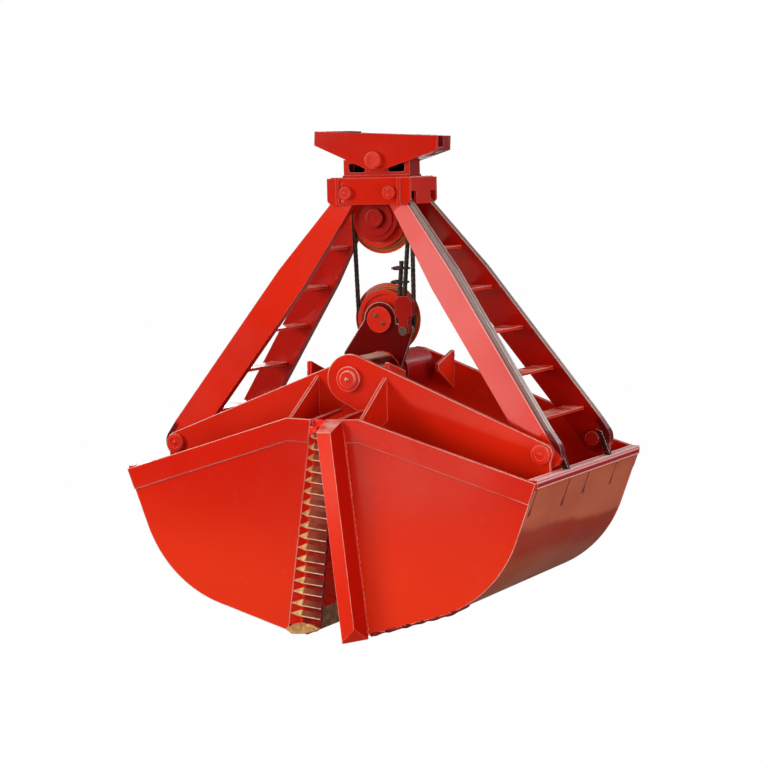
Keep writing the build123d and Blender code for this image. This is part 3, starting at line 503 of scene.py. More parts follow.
def lapOverlay(tree, colour, rough):
    look = lapLooks
    place = coordinates(tree)["Object"]
    dark = mixColour(ramp(noise(place, 26.0, 4.0), 0.3, 0.7), look["greased"], look["thin"])
    litRed = mixColour(0.75, colour, look["litRed"])
    below = ramp(axes(place)["Z"], *look["topZ"])
    # Painted shade towards the mouth, painted light further out
    towardsMouth = times(ramp(jawOut(place), *look["mouth"]), below)
    return mixColour(towardsMouth, litRed, dark), rough


# The pedestal: painted shade, black, inside its windows and crimson on its ends
pedestalLooks = {
    "inside": (0.012, 0.002, 0.002),
    "ends": (0.24, 0.004, 0.006),
    "lugY": (0.0610, 0.0445),
    "windowX": (0.172, 0.171),
}


def pedestalOverlay(tree, colour, rough):
    look = pedestalLooks
    place = coordinates(tree)
    parts = axes(place["Object"])
    # Painted shade inside the windows and on the ends
    deep = ramp(absolute(parts["Y"]), *look["lugY"])
    inner = times(deep, ramp(absolute(parts["X"]), *look["windowX"]))
    ends = ramp(absolute(axes(place["Normal"])["X"]), 0.6, 0.8, 0.0, 0.85)
    colour = mixColour(ends, colour, look["ends"])
    return mixColour(inner, colour, look["inside"]), rough


# The hub: pale painted highlight along the top in front, crimson painted shade behind
hubLooks = {"pale": (0.84, 0.58, 0.44), "crimson": (0.34, 0.006, 0.008), "top": (0.80, 0.93)}


def hubOverlay(tree, colour, rough):
    look = hubLooks
    place = coordinates(tree)
    upward = axes(place["Normal"])["Z"]
    # Painted highlight on the top in front, painted shade behind
    front = mixColour(ramp(upward, *look["top"], 0.0, 0.9), colour, look["pale"])
    behind = ramp(axes(place["Object"])["Y"], -0.01, 0.01)
    return mixColour(behind, front, look["crimson"]), rough


# The scoops' outsides: darker along the top and lighter, more orange lower down, a painted light from the
# floor
scoopLooks = {
    "top": (0.58, 0.0085, 0.0014),
    "low": (0.76, 0.0360, 0.0085),
    "heights": (-1.42, -2.10),
    "share": 0.75,
}


def scoopOverlay(tree, colour, rough):
    look = scoopLooks
    place = coordinates(tree)["Object"]
    cloud = times(minus(noise(place, 1.4, 2.0), 0.5), 0.35)
    height = plus(axes(place)["Z"], cloud)
    # Painted floor light: lighter and more orange lower down
    floorLit = mixColour(ramp(height, *look["heights"]), look["top"], look["low"])
    return mixColour(look["share"], colour, floorLit), rough


# The edge bars' sides away from the mouth, in shade
barLooks = {"shade": (0.42, 0.0030, 0.0008), "share": 0.85}


def barOverlay(tree, colour, rough):
    aside = axes(coordinates(tree)["Normal"])["X"]
    return mixColour(ramp(aside, 0.6, 0.8, 0.0, barLooks["share"]), colour, barLooks["shade"]), rough


# The pins at the back, in the scoops' shade
footPinLooks = {"shade": (0.22, 0.003, 0.003), "share": 0.85}


def footPinOverlay(tree, colour, rough):
    y = axes(coordinates(tree)["Object"])["Y"]
    back = ramp(y, 0.0, 0.1, 0.0, footPinLooks["share"])
    return mixColour(back, colour, footPinLooks["shade"]), rough


headRed = {"deep": (0.50, 0.009, 0.0014), "bright": (0.62, 0.013, 0.002), "gloss": 0.14}
# The lower block's red: a darker copy, painted shade
blockRed = {"deep": (0.10, 0.001, 0.0006), "bright": (0.17, 0.0016, 0.001), "runs": 0.40}
plateRed = {"line": 1.0, "radius": 0.0085, "toneScale": 0.8, "gloss": 0.15}
armRed = {"line": 0.5, "rough": (0.18, 0.25)}
paintRows = {
    "footPins": dict(overlay=footPinOverlay, line=0.7, radius=0.003, toneScale=6.0),
    "lap": dict(overlay=lapOverlay, line=0.25, radius=0.002),
    "head": dict(line=0.5, rough=(0.14, 0.20), **headRed),
    "pedestal": dict(overlay=pedestalOverlay, **headRed),
    # Steps: the pale pink top layer is a painted highlight on their tops
    "steps": dict(line=0.9, radius=0.005, dustAndTopHighlightShare=0.9, dustAndTopHighlight=(0.72, 0.36, 0.28)),
    "leftArm": dict(overlay=armOverlay(-1), **armRed),
    "rightArm": dict(overlay=armOverlay(1, bordered=True), **armRed),
    # Back bars: darker copies of the arm paint, painted shade
    "leftArmBack": dict(
        overlay=armOverlay(-1), line=0.4, deep=(0.36, 0.005, 0.001), bright=(0.46, 0.007, 0.0014), gloss=0.18
    ),
    "rightArmBack": dict(
        overlay=armOverlay(1), line=0.4, deep=(0.26, 0.003, 0.001), bright=(0.36, 0.004, 0.0014), gloss=0.15
    ),
    # Straps: near black
    "straps": dict(
        name="blackPaintStraps", line=1.0, deep=(0.022, 0.003, 0.003), bright=(0.05, 0.006, 0.005), gloss=0.3
    ),
    # Scoops: edges facing down low on the plates carry more of the edge line, painted highlight
    "scoops": dict(overlay=scoopOverlay, under=(0.40, 0.85), **plateRed),
    "hinges": plateRed,
    # Edge bars: the pale pink top layer is a painted highlight on the sloped caps
    "bars": dict(
        overlay=barOverlay, deep=(0.66, 0.015, 0.002), bright=(0.80, 0.022, 0.003),
        line=0.9, radius=0.005, dustAndTopHighlightShare=0.95, dustAndTopHighlight=(0.80, 0.40, 0.34),
    ),
    "block": dict(line=1.0, radius=0.010, gloss=0.08, **blockRed),
    "hub": dict(overlay=hubOverlay, gloss=0.10, **blockRed),
    "socket": dict(
        deep=(0.30, 0.005, 0.002), bright=(0.42, 0.008, 0.003), line=0.4, radius=0.003, gloss=0.15
    ),
    "anchors": dict(
        deep=(0.24, 0.006, 0.010), bright=(0.32, 0.010, 0.016),
        dustAndTopHighlightShare=0.9, dustAndTopHighlight=(0.10, 0.085, 0.050), line=0.3,
    ),
    # Hangers and upper axle faces: a darker red, painted shade
    "hanger": dict(deep=(0.30, 0.005, 0.002), bright=(0.42, 0.007, 0.003), line=0.15, runs=0.5, gloss=0.12),
    "shaft": dict(line=1.0, radius=0.007, chips=0.55, toneScale=6.0),
    "pins": dict(line=0.55, radius=0.003, chips=0.55, toneScale=6.0),
    "rim": dict(overlay=rimOverlay, line=0.7),
    "welds": dict(line=0.10, radius=0.001, toneScale=14.0, dustAndTopHighlightShare=0.35),
    "footSeams": dict(deep=(0.10, 0.006, 0.004), bright=(0.34, 0.014, 0.008), toneScale=16.0, line=0.2),
    "leftShell": dict(overlay=shellOverlay(-1), line=0.6, gloss=0.10),
    "rightShell": dict(overlay=shellOverlay(1), line=0.6, gloss=0.10),
    "upperSheave": dict(overlay=grooveOverlay(upperAxleZ, upperSheaveY), line=0.5, radius=0.002),
    "lowerSheave": dict(overlay=grooveOverlay(lowerAxleZ, lowerSheaveY), line=0.5, radius=0.002),
}
paint = {}
for key, row in paintRows.items():
    paint[key] = redPaint(**{"name": "redPaint" + key[0].upper() + key[1:], **row})
print("red paints ready:", len(paint))

# Bare steels, each mottled between two tones, with rust and worn edges that carry a painted highlight where
# they face up
steelWornAndHighlight = (0.82, 0.66, 0.46)
steelRows = {
    "rope": dict(
        name="blackRopeWire", colour=(0.050, 0.046, 0.044), dark=(0.010, 0.009, 0.009), rough=(0.30, 0.55),
        metallic=0.75, line=0.0, scale=60.0, rusty=0.10,
    ),
    "bolts": dict(
        name="darkBoltSteel", colour=(0.090, 0.060, 0.050), dark=(0.025, 0.015, 0.012), rough=(0.35, 0.60),
        metallic=0.60, line=0.35, scale=48.0, rusty=0.25,
    ),
    "clips": dict(
        name="clipSteel", colour=(0.060, 0.040, 0.036), dark=(0.016, 0.012, 0.012), rough=(0.32, 0.55),
        metallic=0.65, line=0.30, scale=48.0, rusty=0.18,
    ),
    "toe": dict(
        name="wornToeSteel", colour=(0.86, 0.52, 0.20), dark=(0.46, 0.19, 0.055), rough=(0.30, 0.50),
        metallic=0.30, line=0.90, scale=26.0, rusty=0.25,
    ),
    "lip": dict(
        name="wornLipSteel", colour=(0.52, 0.27, 0.10), dark=(0.20, 0.070, 0.022), rough=(0.28, 0.50),
        metallic=0.55, line=0.80, scale=18.0, rusty=0.40,
    ),
    "bronze": dict(
        name="bronzeBush", colour=(0.56, 0.30, 0.10), dark=(0.34, 0.16, 0.05), rough=(0.25, 0.42),
        metallic=0.90, line=0.30, scale=40.0, rusty=0.05,
    ),
    "grease": dict(
        name="greaseFitting", colour=(0.62, 0.52, 0.40), dark=(0.36, 0.26, 0.18), rough=(0.22, 0.38),
        metallic=0.80, line=0.30, scale=60.0, rusty=0.10,
    ),
}


def steelMaterial(name, colour, dark, rough, metallic, line, scale, rusty):
    made, tree, shader = newMaterial(name)
    rust = placeGroup(tree, rustSkin, Scale=scale)
    wearAndHighlight = placeGroup(tree, edgeWearAndHighlight, Radius=0.002, Line=line)
    cloud = ramp(noise(coordinates(tree)["Object"], scale * 1.7, 4.0), 0.3, 0.7)
    share = times(rust["Spots"], rusty)
    base = mixColour(cloud, dark, colour)
    base = mixColour(share, base, rust["Colour"])
    base = mixColour(wearAndHighlight["Mask"], base, steelWornAndHighlight)
    metal = mixValue(share, metallic, metallic * 0.35)
    dull = ramp(cloud, 0.0, 1.0, *reversed(rough), smooth=False)
    grain = bump(0.22, 0.0008, rust["Grain"], wearAndHighlight["Normal"])
    send(shader.inputs, Base_Color=base, Metallic=metal, Roughness=dull, Normal=grain)
    return made


# Worn ribs: gold on the pointed ends, brightened as painted highlight; brown further in; dark painted shade
# at the mouth; a painted highlight along the crest
ribLooks = {
    "gold": (0.98, 0.70, 0.36),
    "dull": (0.66, 0.34, 0.11),
    "brown": (0.27, 0.050, 0.022),
    "dark": (0.14, 0.014, 0.008),
    "crest": (0.86, 0.56, 0.36),
    "fold": (0.024, 0.034),
    "ridge": (0.7155, 0.7168),
    "mouth": (0.020, -0.060),
    "rough": (0.50, 0.30),
}


def makeRibMaterial():
    look = ribLooks
    made, tree, shader = newMaterial("wornRibWeld", Specular_IOR_Level=0.12)
    place = coordinates(tree)["Object"]
    rust = placeGroup(tree, rustSkin, Scale=34.0)
    wearAndHighlight = placeGroup(tree, edgeWearAndHighlight, Radius=0.0015, Line=0.6)
    out = jawOut(place)
    cloud = ramp(noise(place, 52.0, 4.0), 0.3, 0.7)
    run = mixColour(times(rust["Spots"], 0.5), look["brown"], rust["Colour"])
    # Painted shade towards the mouth
    run = mixColour(ramp(out, *look["mouth"]), run, look["dark"])
    # Painted highlight along the crest
    ridge = ramp(absolute(axes(place)["Y"]), *look["ridge"])
    run = mixColour(ridge, run, look["crest"])
    # Gold ends: worn steel brightened as painted highlight
    end = mixColour(cloud, look["dull"], look["gold"])
    colour = mixColour(ramp(out, *look["fold"]), run, end)
    colour = mixColour(wearAndHighlight["Mask"], colour, look["crest"])
    dull = ramp(cloud, 0.0, 1.0, *look["rough"], smooth=False)
    grain = bump(0.25, 0.0008, rust["Grain"], wearAndHighlight["Normal"])
    send(shader.inputs, Base_Color=colour, Roughness=dull, Normal=grain)
    return made


steel = {key: steelMaterial(**row) for key, row in steelRows.items()}
steel["ribs"] = makeRibMaterial()
print("steels ready:", len(steel))


# Paint for each carried-over solid
def dress(material, *names):
    for name in names:
        mesh = nodes[name].data
        mesh.materials.clear()
        mesh.materials.append(material)


dress(paint["head"], "beam_front_plate", "beam_back_plate", "head_front_plate", "head_back_plate")
dress(paint["head"], "head_left_end_plate", "head_right_end_plate", "head_top_plate")
dress(paint["anchors"], "beam_left_rope_anchor", "beam_right_rope_anchor")
dress(paint["pedestal"], "pedestal")
dress(paint["hanger"], "upper_hanger_front", "upper_hanger_back", "upper_sheave_axle")
dress(paint["pins"], "beam_pivot_pin", "head_arm_pins", "lower_sheave_axle")
dress(paint["shaft"], "scoop_hinge_shaft")
dress(paint["upperSheave"], "upper_sheave")
dress(paint["lowerSheave"], "lower_sheave")
dress(steel["bronze"], "upper_sheave_bush", "lower_sheave_bush")
dress(paint["block"], "lower_block_front_cheek", "lower_block_back_cheek")
dress(paint["hub"], "lower_block_hub")
dress(paint["socket"], "rope_socket")
dress(steel["bolts"], "rope_socket_pin", "rope_clips")
dress(steel["rope"], "rope_over_upper_sheave", "rope_falls", "rope_dead_fall", "rope_under_lower_sheave")
for sideName in sides:
    for faceName in faces:
        dress(paint["scoops"], f"{sideName}_scoop_{faceName}_side")
        dress(paint["hinges"], f"{sideName}_scoop_{faceName}_hinge_plate")
    dress(paint["hinges"], f"{sideName}_scoop_gussets")
    dress(paint[f"{sideName}Shell"], f"{sideName}_scoop_shell")
    dress(paint["rim"], f"{sideName}_scoop_rim")
    dress(steel["lip"], f"{sideName}_scoop_lip")
    dress(paint["footPins"], f"{sideName}_scoop_arm_pins")
    dress(paint[f"{sideName}Arm"], f"{sideName}_arm_front_bar")
    dress(paint[f"{sideName}ArmBack"], f"{sideName}_arm_back_bar")
    dress(paint["steps"], f"{sideName}_arm_steps")
dress(paint["bars"], "right_scoop_front_edge_bar", "right_scoop_back_edge_bar")
dress(paint["lap"], "left_scoop_front_lap_strip", "left_scoop_back_lap_strip")
print("solids dressed")


# Mesh helpers
def smoothByAngle(mesh, angle=35):
    mesh.polygons.foreach_set("use_smooth", [True] * len(mesh.polygons))
    mesh.set_sharp_from_angle(angle=radians(angle))
    mesh.update()


def linkPiece(name, mesh, material=None):
    piece = bpy.data.objects.new(name, mesh)
    scene.collection.objects.link(piece)
    if material:
        mesh.materials.clear()
        mesh.materials.append(material)
    return piece


def pieceFrom(bm, name, material, bevel=0.0):
    bmesh.ops.remove_doubles(bm, verts=bm.verts, dist=1e-6)
    bmesh.ops.recalc_face_normals(bm, faces=bm.faces)
    if bevel:
        edges = [edge for edge in bm.edges if len(edge.link_faces) == 2]
        sharp = [edge for edge in edges if edge.calc_face_angle() > radians(28)]
        shape = {"segments": 2, "profile": 0.6, "affect": "EDGES", "clamp_overlap": True}
        bmesh.ops.bevel(bm, geom=sharp, offset=bevel, **shape)
    mesh = bpy.data.meshes.new(name)
    bm.to_mesh(mesh)
    bm.free()
    smoothByAngle(mesh)
    return linkPiece(name, mesh, material)


def removePiece(piece):
    spare = piece.data
    bpy.data.objects.remove(piece)
    bpy.data.meshes.remove(spare)


def seat(piece, body):
    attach(piece, body)
    return piece


def joinRings(bm, lower, upper):
    for index in range(len(lower)):
        after = (index + 1) % len(lower)
        bm.faces.new((lower[after], lower[index], upper[index], upper[after]))


def addLoft(bm, lower, upper):
    near, far = [[bm.verts.new(point) for point in ring] for ring in (lower, upper)]
    bm.faces.new(near)
    bm.faces.new(list(reversed(far)))
    joinRings(bm, near, far)


def addPrism(bm, outline, push):
    addLoft(bm, outline, [Vector(point) + Vector(push) for point in outline])


def addLathe(bm, origin, axis, profile, turns=40):
    axis = Vector(axis).normalized()
    across = axis.orthogonal().normalized()
    other = axis.cross(across)
    rings = []
    for radius, rise in profile:
        middle = Vector(origin) + axis * rise
        if radius == 0:
            rings.append([bm.verts.new(middle)])
            continue
        ring = []
        for step in range(turns):
            turn = 2 * pi * step / turns
            ring.append(bm.verts.new(middle + (across * cos(turn) + other * sin(turn)) * radius))
        rings.append(ring)
    for lower, upper in zip(rings, rings[1:]):
        for step in range(turns):
            corners = []
            for ring, place in ((lower, step), (lower, step + 1), (upper, step + 1), (upper, step)):
                corner = ring[place % turns % len(ring)]
                if corner not in corners:
                    corners.append(corner)
            if len(corners) > 2:
                bm.faces.new(corners)


# Geometry Nodes helpers: a tree's inputs are the sizes given to it, then other inputs by kind
socketKinds = {int: "Int", float: "Float", tuple: "Vector"}


def geometryTree(name, sizes, **others):
    tree = bpy.data.node_groups.new(name, "GeometryNodeTree")
    tree.interface.new_socket("Geometry", in_out="INPUT", socket_type="NodeSocketGeometry")
    for label, value in sizes.items():
        kind = "NodeSocket" + socketKinds[type(value)]
        tree.interface.new_socket(label, in_out="INPUT", socket_type=kind).default_value = value
    for label, kind in others.items():
        tree.interface.new_socket(label, in_out="INPUT", socket_type="NodeSocket" + kind)
    tree.interface.new_socket("Geometry", in_out="OUTPUT", socket_type="NodeSocketGeometry")
    return tree, put(tree, "NodeGroupInput"), tree.nodes.new("NodeGroupOutput").inputs[0]


def closeTree(geometry, material, end):
    tree = geometry.id_data
    solid = put(tree, "GeometryNodeRealizeInstances", None, Geometry=geometry)[0]
    painted = put(tree, "GeometryNodeSetMaterial", None, Geometry=solid, Material=material)[0]
    tree.links.new(painted, end)


def moved(geometry, offset):
    return put(geometry.id_data, "GeometryNodeSetPosition", None, Geometry=geometry, Offset=offset)[0]


def shadedSmooth(geometry):
    return put(geometry.id_data, "GeometryNodeSetShadeSmooth", None, Geometry=geometry)[0]


def named(tree, name, kind):
    return put(tree, "GeometryNodeInputNamedAttribute", {"data_type": kind}, Name=name)[0]


def evenCurve(curve, step):
    return put(curve.id_data, "GeometryNodeResampleCurve", {"mode": "LENGTH"}, Curve=curve, Length=step)[0]


def tube(curve, sideCount, radius, **plugs):
    tree = curve.id_data
    profile = put(tree, "GeometryNodeCurvePrimitiveCircle", None, Resolution=sideCount, Radius=radius)[0]
    plugs = {"Curve": curve, "Profile_Curve": profile, "Fill_Caps": True, **plugs}
    return put(tree, "GeometryNodeCurveToMesh", None, **plugs)[0]


def joined(parts):
    tree = parts[0].id_data
    made = tree.nodes.new("GeometryNodeJoinGeometry")
    for part in parts:
        tree.links.new(part, made.inputs[0])
    return made.outputs[0]


def grow(tree, source, values, name):
    modifier = source.modifiers.new(name, "NODES")
    modifier.node_group = tree
    for item in tree.interface.items_tree:
        if item.item_type == "SOCKET" and item.in_out == "INPUT" and item.name in values:
            modifier[item.identifier] = values[item.name]
    source.update_tag()
    bpy.context.view_layer.update()
    seen = source.evaluated_get(bpy.context.evaluated_depsgraph_get())
    mesh = bpy.data.meshes.new_from_object(seen)
    mesh.name = name
    source.modifiers.remove(modifier)
    removePiece(source)
    return linkPiece(name, mesh)


def pathsObject(name, paths):
    points, edges = [], []
    for path in paths:
        first = len(points)
        points += [tuple(point) for point in path]
        edges += [(first + index, first + index + 1) for index in range(len(path) - 1)]
    mesh = bpy.data.meshes.new(name)
    mesh.from_pydata(points, edges, [])
    return linkPiece(name, mesh)


# Wire rope: strands laid round a core, along arcs and straight runs
ropeLay = {
    "Strands": 6,
    "Strand Radius": 0.0040,
    "Lay Radius": 0.0078,
    "Core Radius": 0.0050,
    "Lay Length": 0.155,
    "Step": 0.006,
}
ropeDetail = {"strandSides": 7, "coreSides": 8, "arcPoints": 72}


def makeLayStrands():
    tree, start, end = geometryTree("layStrands", ropeLay)
    even = evenCurve(start["Geometry"], start["Step"])
    settings = {"domain": "SPLINE"}
    copies = put(tree, "GeometryNodeDuplicateElements", settings, Geometry=even, Amount=start["Strands"])
    turn = calc("DIVIDE", put(tree, "GeometryNodeSplineParameter")["Length"], start["Lay Length"])
    share = calc("DIVIDE", copies["Duplicate Index"], start["Strands"])
    angle = times(plus(turn, share), 2 * pi)
    tangent = put(tree, "GeometryNodeInputTangent")[0]
    normal = put(tree, "GeometryNodeInputNormal")[0]
    aside = vectorCalc("CROSS_PRODUCT", tangent, normal)[0]
    first = scaled(normal, calc("COSINE", angle))
    second = scaled(aside, calc("SINE", angle))
    offset = scaled(vectorCalc("ADD", first, second)[0], start["Lay Radius"])
    wound = moved(copies["Geometry"], offset)
    core = tube(even, ropeDetail["coreSides"], start["Core Radius"])
    strand = tube(wound, ropeDetail["strandSides"], start["Strand Radius"])
    tree.links.new(shadedSmooth(joined((core, strand))), end)
    return tree


layStrands = makeLayStrands()


def layRope(name, wrap, runs):
    tree, start, end = geometryTree(name + "Tree", {"Pitch Radius": ropePitch}, Material="Material")
    parts = []
    if wrap:
        centre, startAngle = wrap
        arc = {"Resolution": ropeDetail["arcPoints"], "Radius": start["Pitch Radius"]}
        arc.update({"Start Angle": startAngle, "Sweep Angle": pi})
        arc = put(tree, "GeometryNodeCurveArc", {"mode": "RADIUS"}, **arc)[0]
        upright = {"Geometry": arc, "Translation": centre, "Rotation": (pi / 2, 0, 0)}
        parts.append(put(tree, "GeometryNodeTransform", None, **upright)[0])
    for foot, top in runs:
        parts.append(put(tree, "GeometryNodeCurvePrimitiveLine", None, Start=foot, End=top)[0])
    path = joined(parts)
    laid = put(tree, "GeometryNodeGroup", {"node_tree": layStrands}, Geometry=path, **ropeLay)[0]
    closeTree(laid, start["Material"], end)
    rope = grow(tree, pathsObject(name + "Source", []), {"Material": steel["rope"]}, name)
    return rope


upperRight = (ropePitch, lowerSheaveY, upperAxleZ)
lowerRight = (ropePitch, lowerSheaveY, lowerAxleZ)
upperLeft = (-ropePitch, upperSheaveY, upperAxleZ)
lowerLeft = (-ropePitch, lowerSheaveY, lowerAxleZ)
leadTop = (ropePitch, lowerSheaveY, -0.066)
deadTop = (ropePitch, upperSheaveY, upperAxleZ)
deadFoot = (0.148, -0.082, socketTopZ)
tailFoot = (0.121, -0.082, socketTopZ)
tailTop = (0.1232, -0.0540, -0.504)

ropeUpper = layRope("ropeOverUpperSheave", ((0, upperSheaveY, upperAxleZ), 0.0), [(upperRight, leadTop)])
ropeLower = layRope("ropeUnderLowerSheave", ((0, lowerSheaveY, lowerAxleZ), pi), [(tailFoot, tailTop)])
ropeFalls = layRope("ropeFalls", None, [(lowerLeft, upperLeft), (lowerRight, upperRight)])
ropeDeadFall = layRope("ropeDeadFall", None, [(deadFoot, deadTop)])
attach(ropeUpper, "head")
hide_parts("rope_over_upper_sheave")
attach(ropeLower, "lower_block")
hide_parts("rope_under_lower_sheave")
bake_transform(ropeFalls)
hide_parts("rope_falls")
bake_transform(ropeDeadFall)
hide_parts("rope_dead_fall")
ropes = (ropeUpper, ropeLower, ropeFalls, ropeDeadFall)
print("rope laid:", sum(len(rope.data.polygons) for rope in ropes), "faces")

# Ferrule at the rope's upper end, pressed, with two crimped bands
ferruleSize = {
    "radius": 0.020,
    "foot": -0.073,
    "top": -0.021,
    "crimp": 0.0025,
    "crimps": (0.30, 0.62),
    "crimpEnds": (0.002, 0.007, 0.009),
}


def makeFerrule():
    size = ferruleSize
    length = size["top"] - size["foot"]
    full = size["radius"]
    crimped = full - size["crimp"]
    first, last, end = size["crimpEnds"]
    profile = [(0, 0), (full * 0.82, 0), (full, 0.004)]
    for share in size["crimps"]:
        low = length * share
        profile += [(full, low), (crimped, low + first), (crimped, low + last), (full, low + end)]
    profile += [(full, length - 0.005), (full * 0.80, length), (0, length)]
    bm = bmesh.new()
    addLathe(bm, (ropePitch, lowerSheaveY, size["foot"]), (0, 0, 1), profile)
    return pieceFrom(bm, "ropeFerrule", steel["clips"])


seat(makeFerrule(), "head")

# Rope clips: a ribbed saddle, a U bolt round both ropes and two nuts
clipSize = {
    "middles": ((0.1354, -0.0707, -0.607), (0.1363, -0.0597, -0.539)),
    "saddle": (
        (-0.036, -0.021), (-0.024, -0.021), (-0.020, -0.010),
        (-0.020, 0.010), (-0.024, 0.021), (-0.036, 0.021),
    ),
    "saddleTall": 0.020,
    "rib": ((-0.040, -0.008), (-0.036, -0.012), (-0.036, 0.012), (-0.040, 0.008)),
    "ribTall": 0.003,
    "nut": {"x": -0.037, "radius": 0.0105, "tall": 0.011},
    "rod": 0.0055,
    "studY": 0.017,
    "studEnd": 0.058,
    "bendX": 0.0135,
    "bendSteps": 12,
}


def makeClips():
    size = clipSize
    nut = size["nut"]
    half = size["saddleTall"] / 2
    bm = bmesh.new()
    for middle in size["middles"]:
        middle = Vector(middle)
        addPrism(bm, [middle + Vector((x, y, -half)) for x, y in size["saddle"]], (0, 0, 2 * half))
        for ribZ in (-half, 0.0, half):
            low = ribZ - size["ribTall"] / 2
            addPrism(bm, [middle + Vector((x, y, low)) for x, y in size["rib"]], (0, 0, size["ribTall"]))
        for side in (-1, 1):
            foot = middle + Vector((nut["x"], side * size["studY"], 0))
            turns = [pi / 3 * corner for corner in range(6)]
            hexagon = [foot + Vector((0, cos(turn), sin(turn))) * nut["radius"] for turn in turns]
            addPrism(bm, hexagon, (-nut["tall"], 0, 0))
    return pieceFrom(bm, "ropeClipSaddles", steel["clips"], bevel=0.0012)


def makeUBolts():
    size = clipSize
    curve = bpy.data.curves.new("uBolts", "CURVE")
    curve.dimensions = "3D"
    curve.bevel_depth = size["rod"]
    curve.bevel_resolution = 3
    curve.use_fill_caps = True
    for middle in size["middles"]:
        points = [Vector((-size["studEnd"], size["studY"], 0))]
        for step in range(size["bendSteps"] + 1):
            turn = pi / 2 - pi * step / size["bendSteps"]
            points.append(Vector((size["bendX"] + size["studY"] * cos(turn), size["studY"] * sin(turn), 0)))
        points.append(Vector((-size["studEnd"], -size["studY"], 0)))
        spline = curve.splines.new("POLY")
        spline.points.add(len(points) - 1)
        for point, place in zip(spline.points, points):
            point.co = (*(Vector(middle) + place), 1)
    rods = bpy.data.objects.new("uBolts", curve)
    scene.collection.objects.link(rods)
    bpy.context.view_layer.update()
    mesh = bpy.data.meshes.new_from_object(rods.evaluated_get(bpy.context.evaluated_depsgraph_get()))
    bpy.data.objects.remove(rods)
    bpy.data.curves.remove(curve)
    smoothByAngle(mesh, 50)
    return linkPiece("ropeClipUBolts", mesh, steel["clips"])


clipSaddles = seat(makeClips(), "lower_block")
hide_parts("rope_clips")
seat(makeUBolts(), "lower_block")
print("rope ends ready")

# Left jaw: lap strips set behind the plate's edge, worn ribs across them with pointed ends, a worn toe
lapSize = {
    "inner": 0.688,
    "face": 0.702,
    "crest": 0.717,
    "skin": 0.7335,
    "band": 0.741,
    "root": 0.130,
    "rootFoot": 1.190,
    "edge": (0.036, 0.038),
    "top": 0.214,
    "fold": 0.033,
    "outline": (
        (1.206, 0.061), (1.223, 0.059), (1.232, 0.020), (1.210, -0.052),
        (1.190, -0.076), (0.232, -0.076), (0.214, 0.020),
    ),
    "tab": ((0.173, 0.042), (0.173, -0.026), (0.236, -0.026), (0.236, 0.042)),
    "cap": (0.206, 0.246),
    "capReach": 0.006,
    "toeLeft": ((1.176, 0.024), (1.182, 0.052), (1.214, 0.101), (1.234, 0.062), (1.232, 0.024)),
    "toeRight": ((1.2215, -0.010), (1.208, -0.052), (1.190, -0.074), (1.176, -0.030)),
    "toeProud": 0.7385,
}


def lapEdge(along):
    return lapSize["edge"][0] + lapSize["edge"][1] * along


def addLayer(bm, outline, face, inner, outer):
    points = [jawPoint(-1, along, out, face * inner) for along, out in outline]
    addPrism(bm, points, (0, face * (outer - inner), 0))


def makeLapStrips():
    size = lapSize
    back = size["face"] - 0.001
    roots = [(size["top"], size["root"]), (size["rootFoot"], size["root"])]
    capTop, capFoot = size["cap"]
    bm = bmesh.new()
    for face in faces.values():
        addLayer(bm, [*roots, *size["outline"]], face, size["inner"], size["face"])
        rings = []
        for along in (size["top"], size["rootFoot"]):
            front = sidePlateInner + 0.001
            corners = [(size["root"], back), (size["root"], front), (lapEdge(along) + 0.003, front)]
            corners += [(lapEdge(along) - 0.001, size["skin"] - 0.0015), (size["fold"], back)]
            rings.append([jawPoint(-1, along, out, face * y) for out, y in corners])
        addLoft(bm, *rings)
        cap = [(capTop, lapEdge(capTop)), (capTop, size["capReach"])]
        cap += [(capFoot, size["capReach"]), (capFoot, lapEdge(capFoot))]
        addLayer(bm, cap, face, size["face"], size["band"])
        addLayer(bm, size["tab"], face, back, size["crest"])
    return pieceFrom(bm, "leftLapStrips", paint["lap"], bevel=0.0015)


def makeLapToes():
    size = lapSize
    outline = [*size["toeLeft"], *size["toeRight"]]
    last = len(size["toeLeft"]) - 1
    bm = bmesh.new()
    for face in faces.values():
        near, far = [], []
        for index, (along, out) in enumerate(outline):
            depth = size["toeProud"] if 0 < index < last else size["crest"]
            near.append(bm.verts.new(jawPoint(-1, along, out, face * depth)))
            far.append(bm.verts.new(jawPoint(-1, along, out, face * (size["inner"] + 0.001))))
        bm.faces.new(near[:last + 1])
        bm.faces.new([*near[last:], near[0]])
        bm.faces.new(list(reversed(far)))
        joinRings(bm, near, far)
    return pieceFrom(bm, "leftLapToes", steel["toe"], bevel=0.005)


# One rib's section as along and rise, its stations from the mouth to the fold, then the repeat down the jaw
ribSize = {
    "section": (
        (-0.030, -0.10), (-0.024, 0.16), (-0.014, 0.52), (-0.004, 0.92),
        (0.001, 1.0), (0.004, 0.80), (0.007, 0.12), (0.008, -0.10),
    ),
    "stations": (-0.076, -0.052, -0.026, 0.002, 0.033),
    "tipDrop": 0.010,
    "tipRise": 0.7325,
    "count": 17,
    "first": 0.264,
    "pitch": 0.055,
    "drift": 0.0025,
    "heights": (-1.33, -2.20),
    "roughness": 0.0022,
    "lumpScale": 60.0,
    "seed": 4,
}


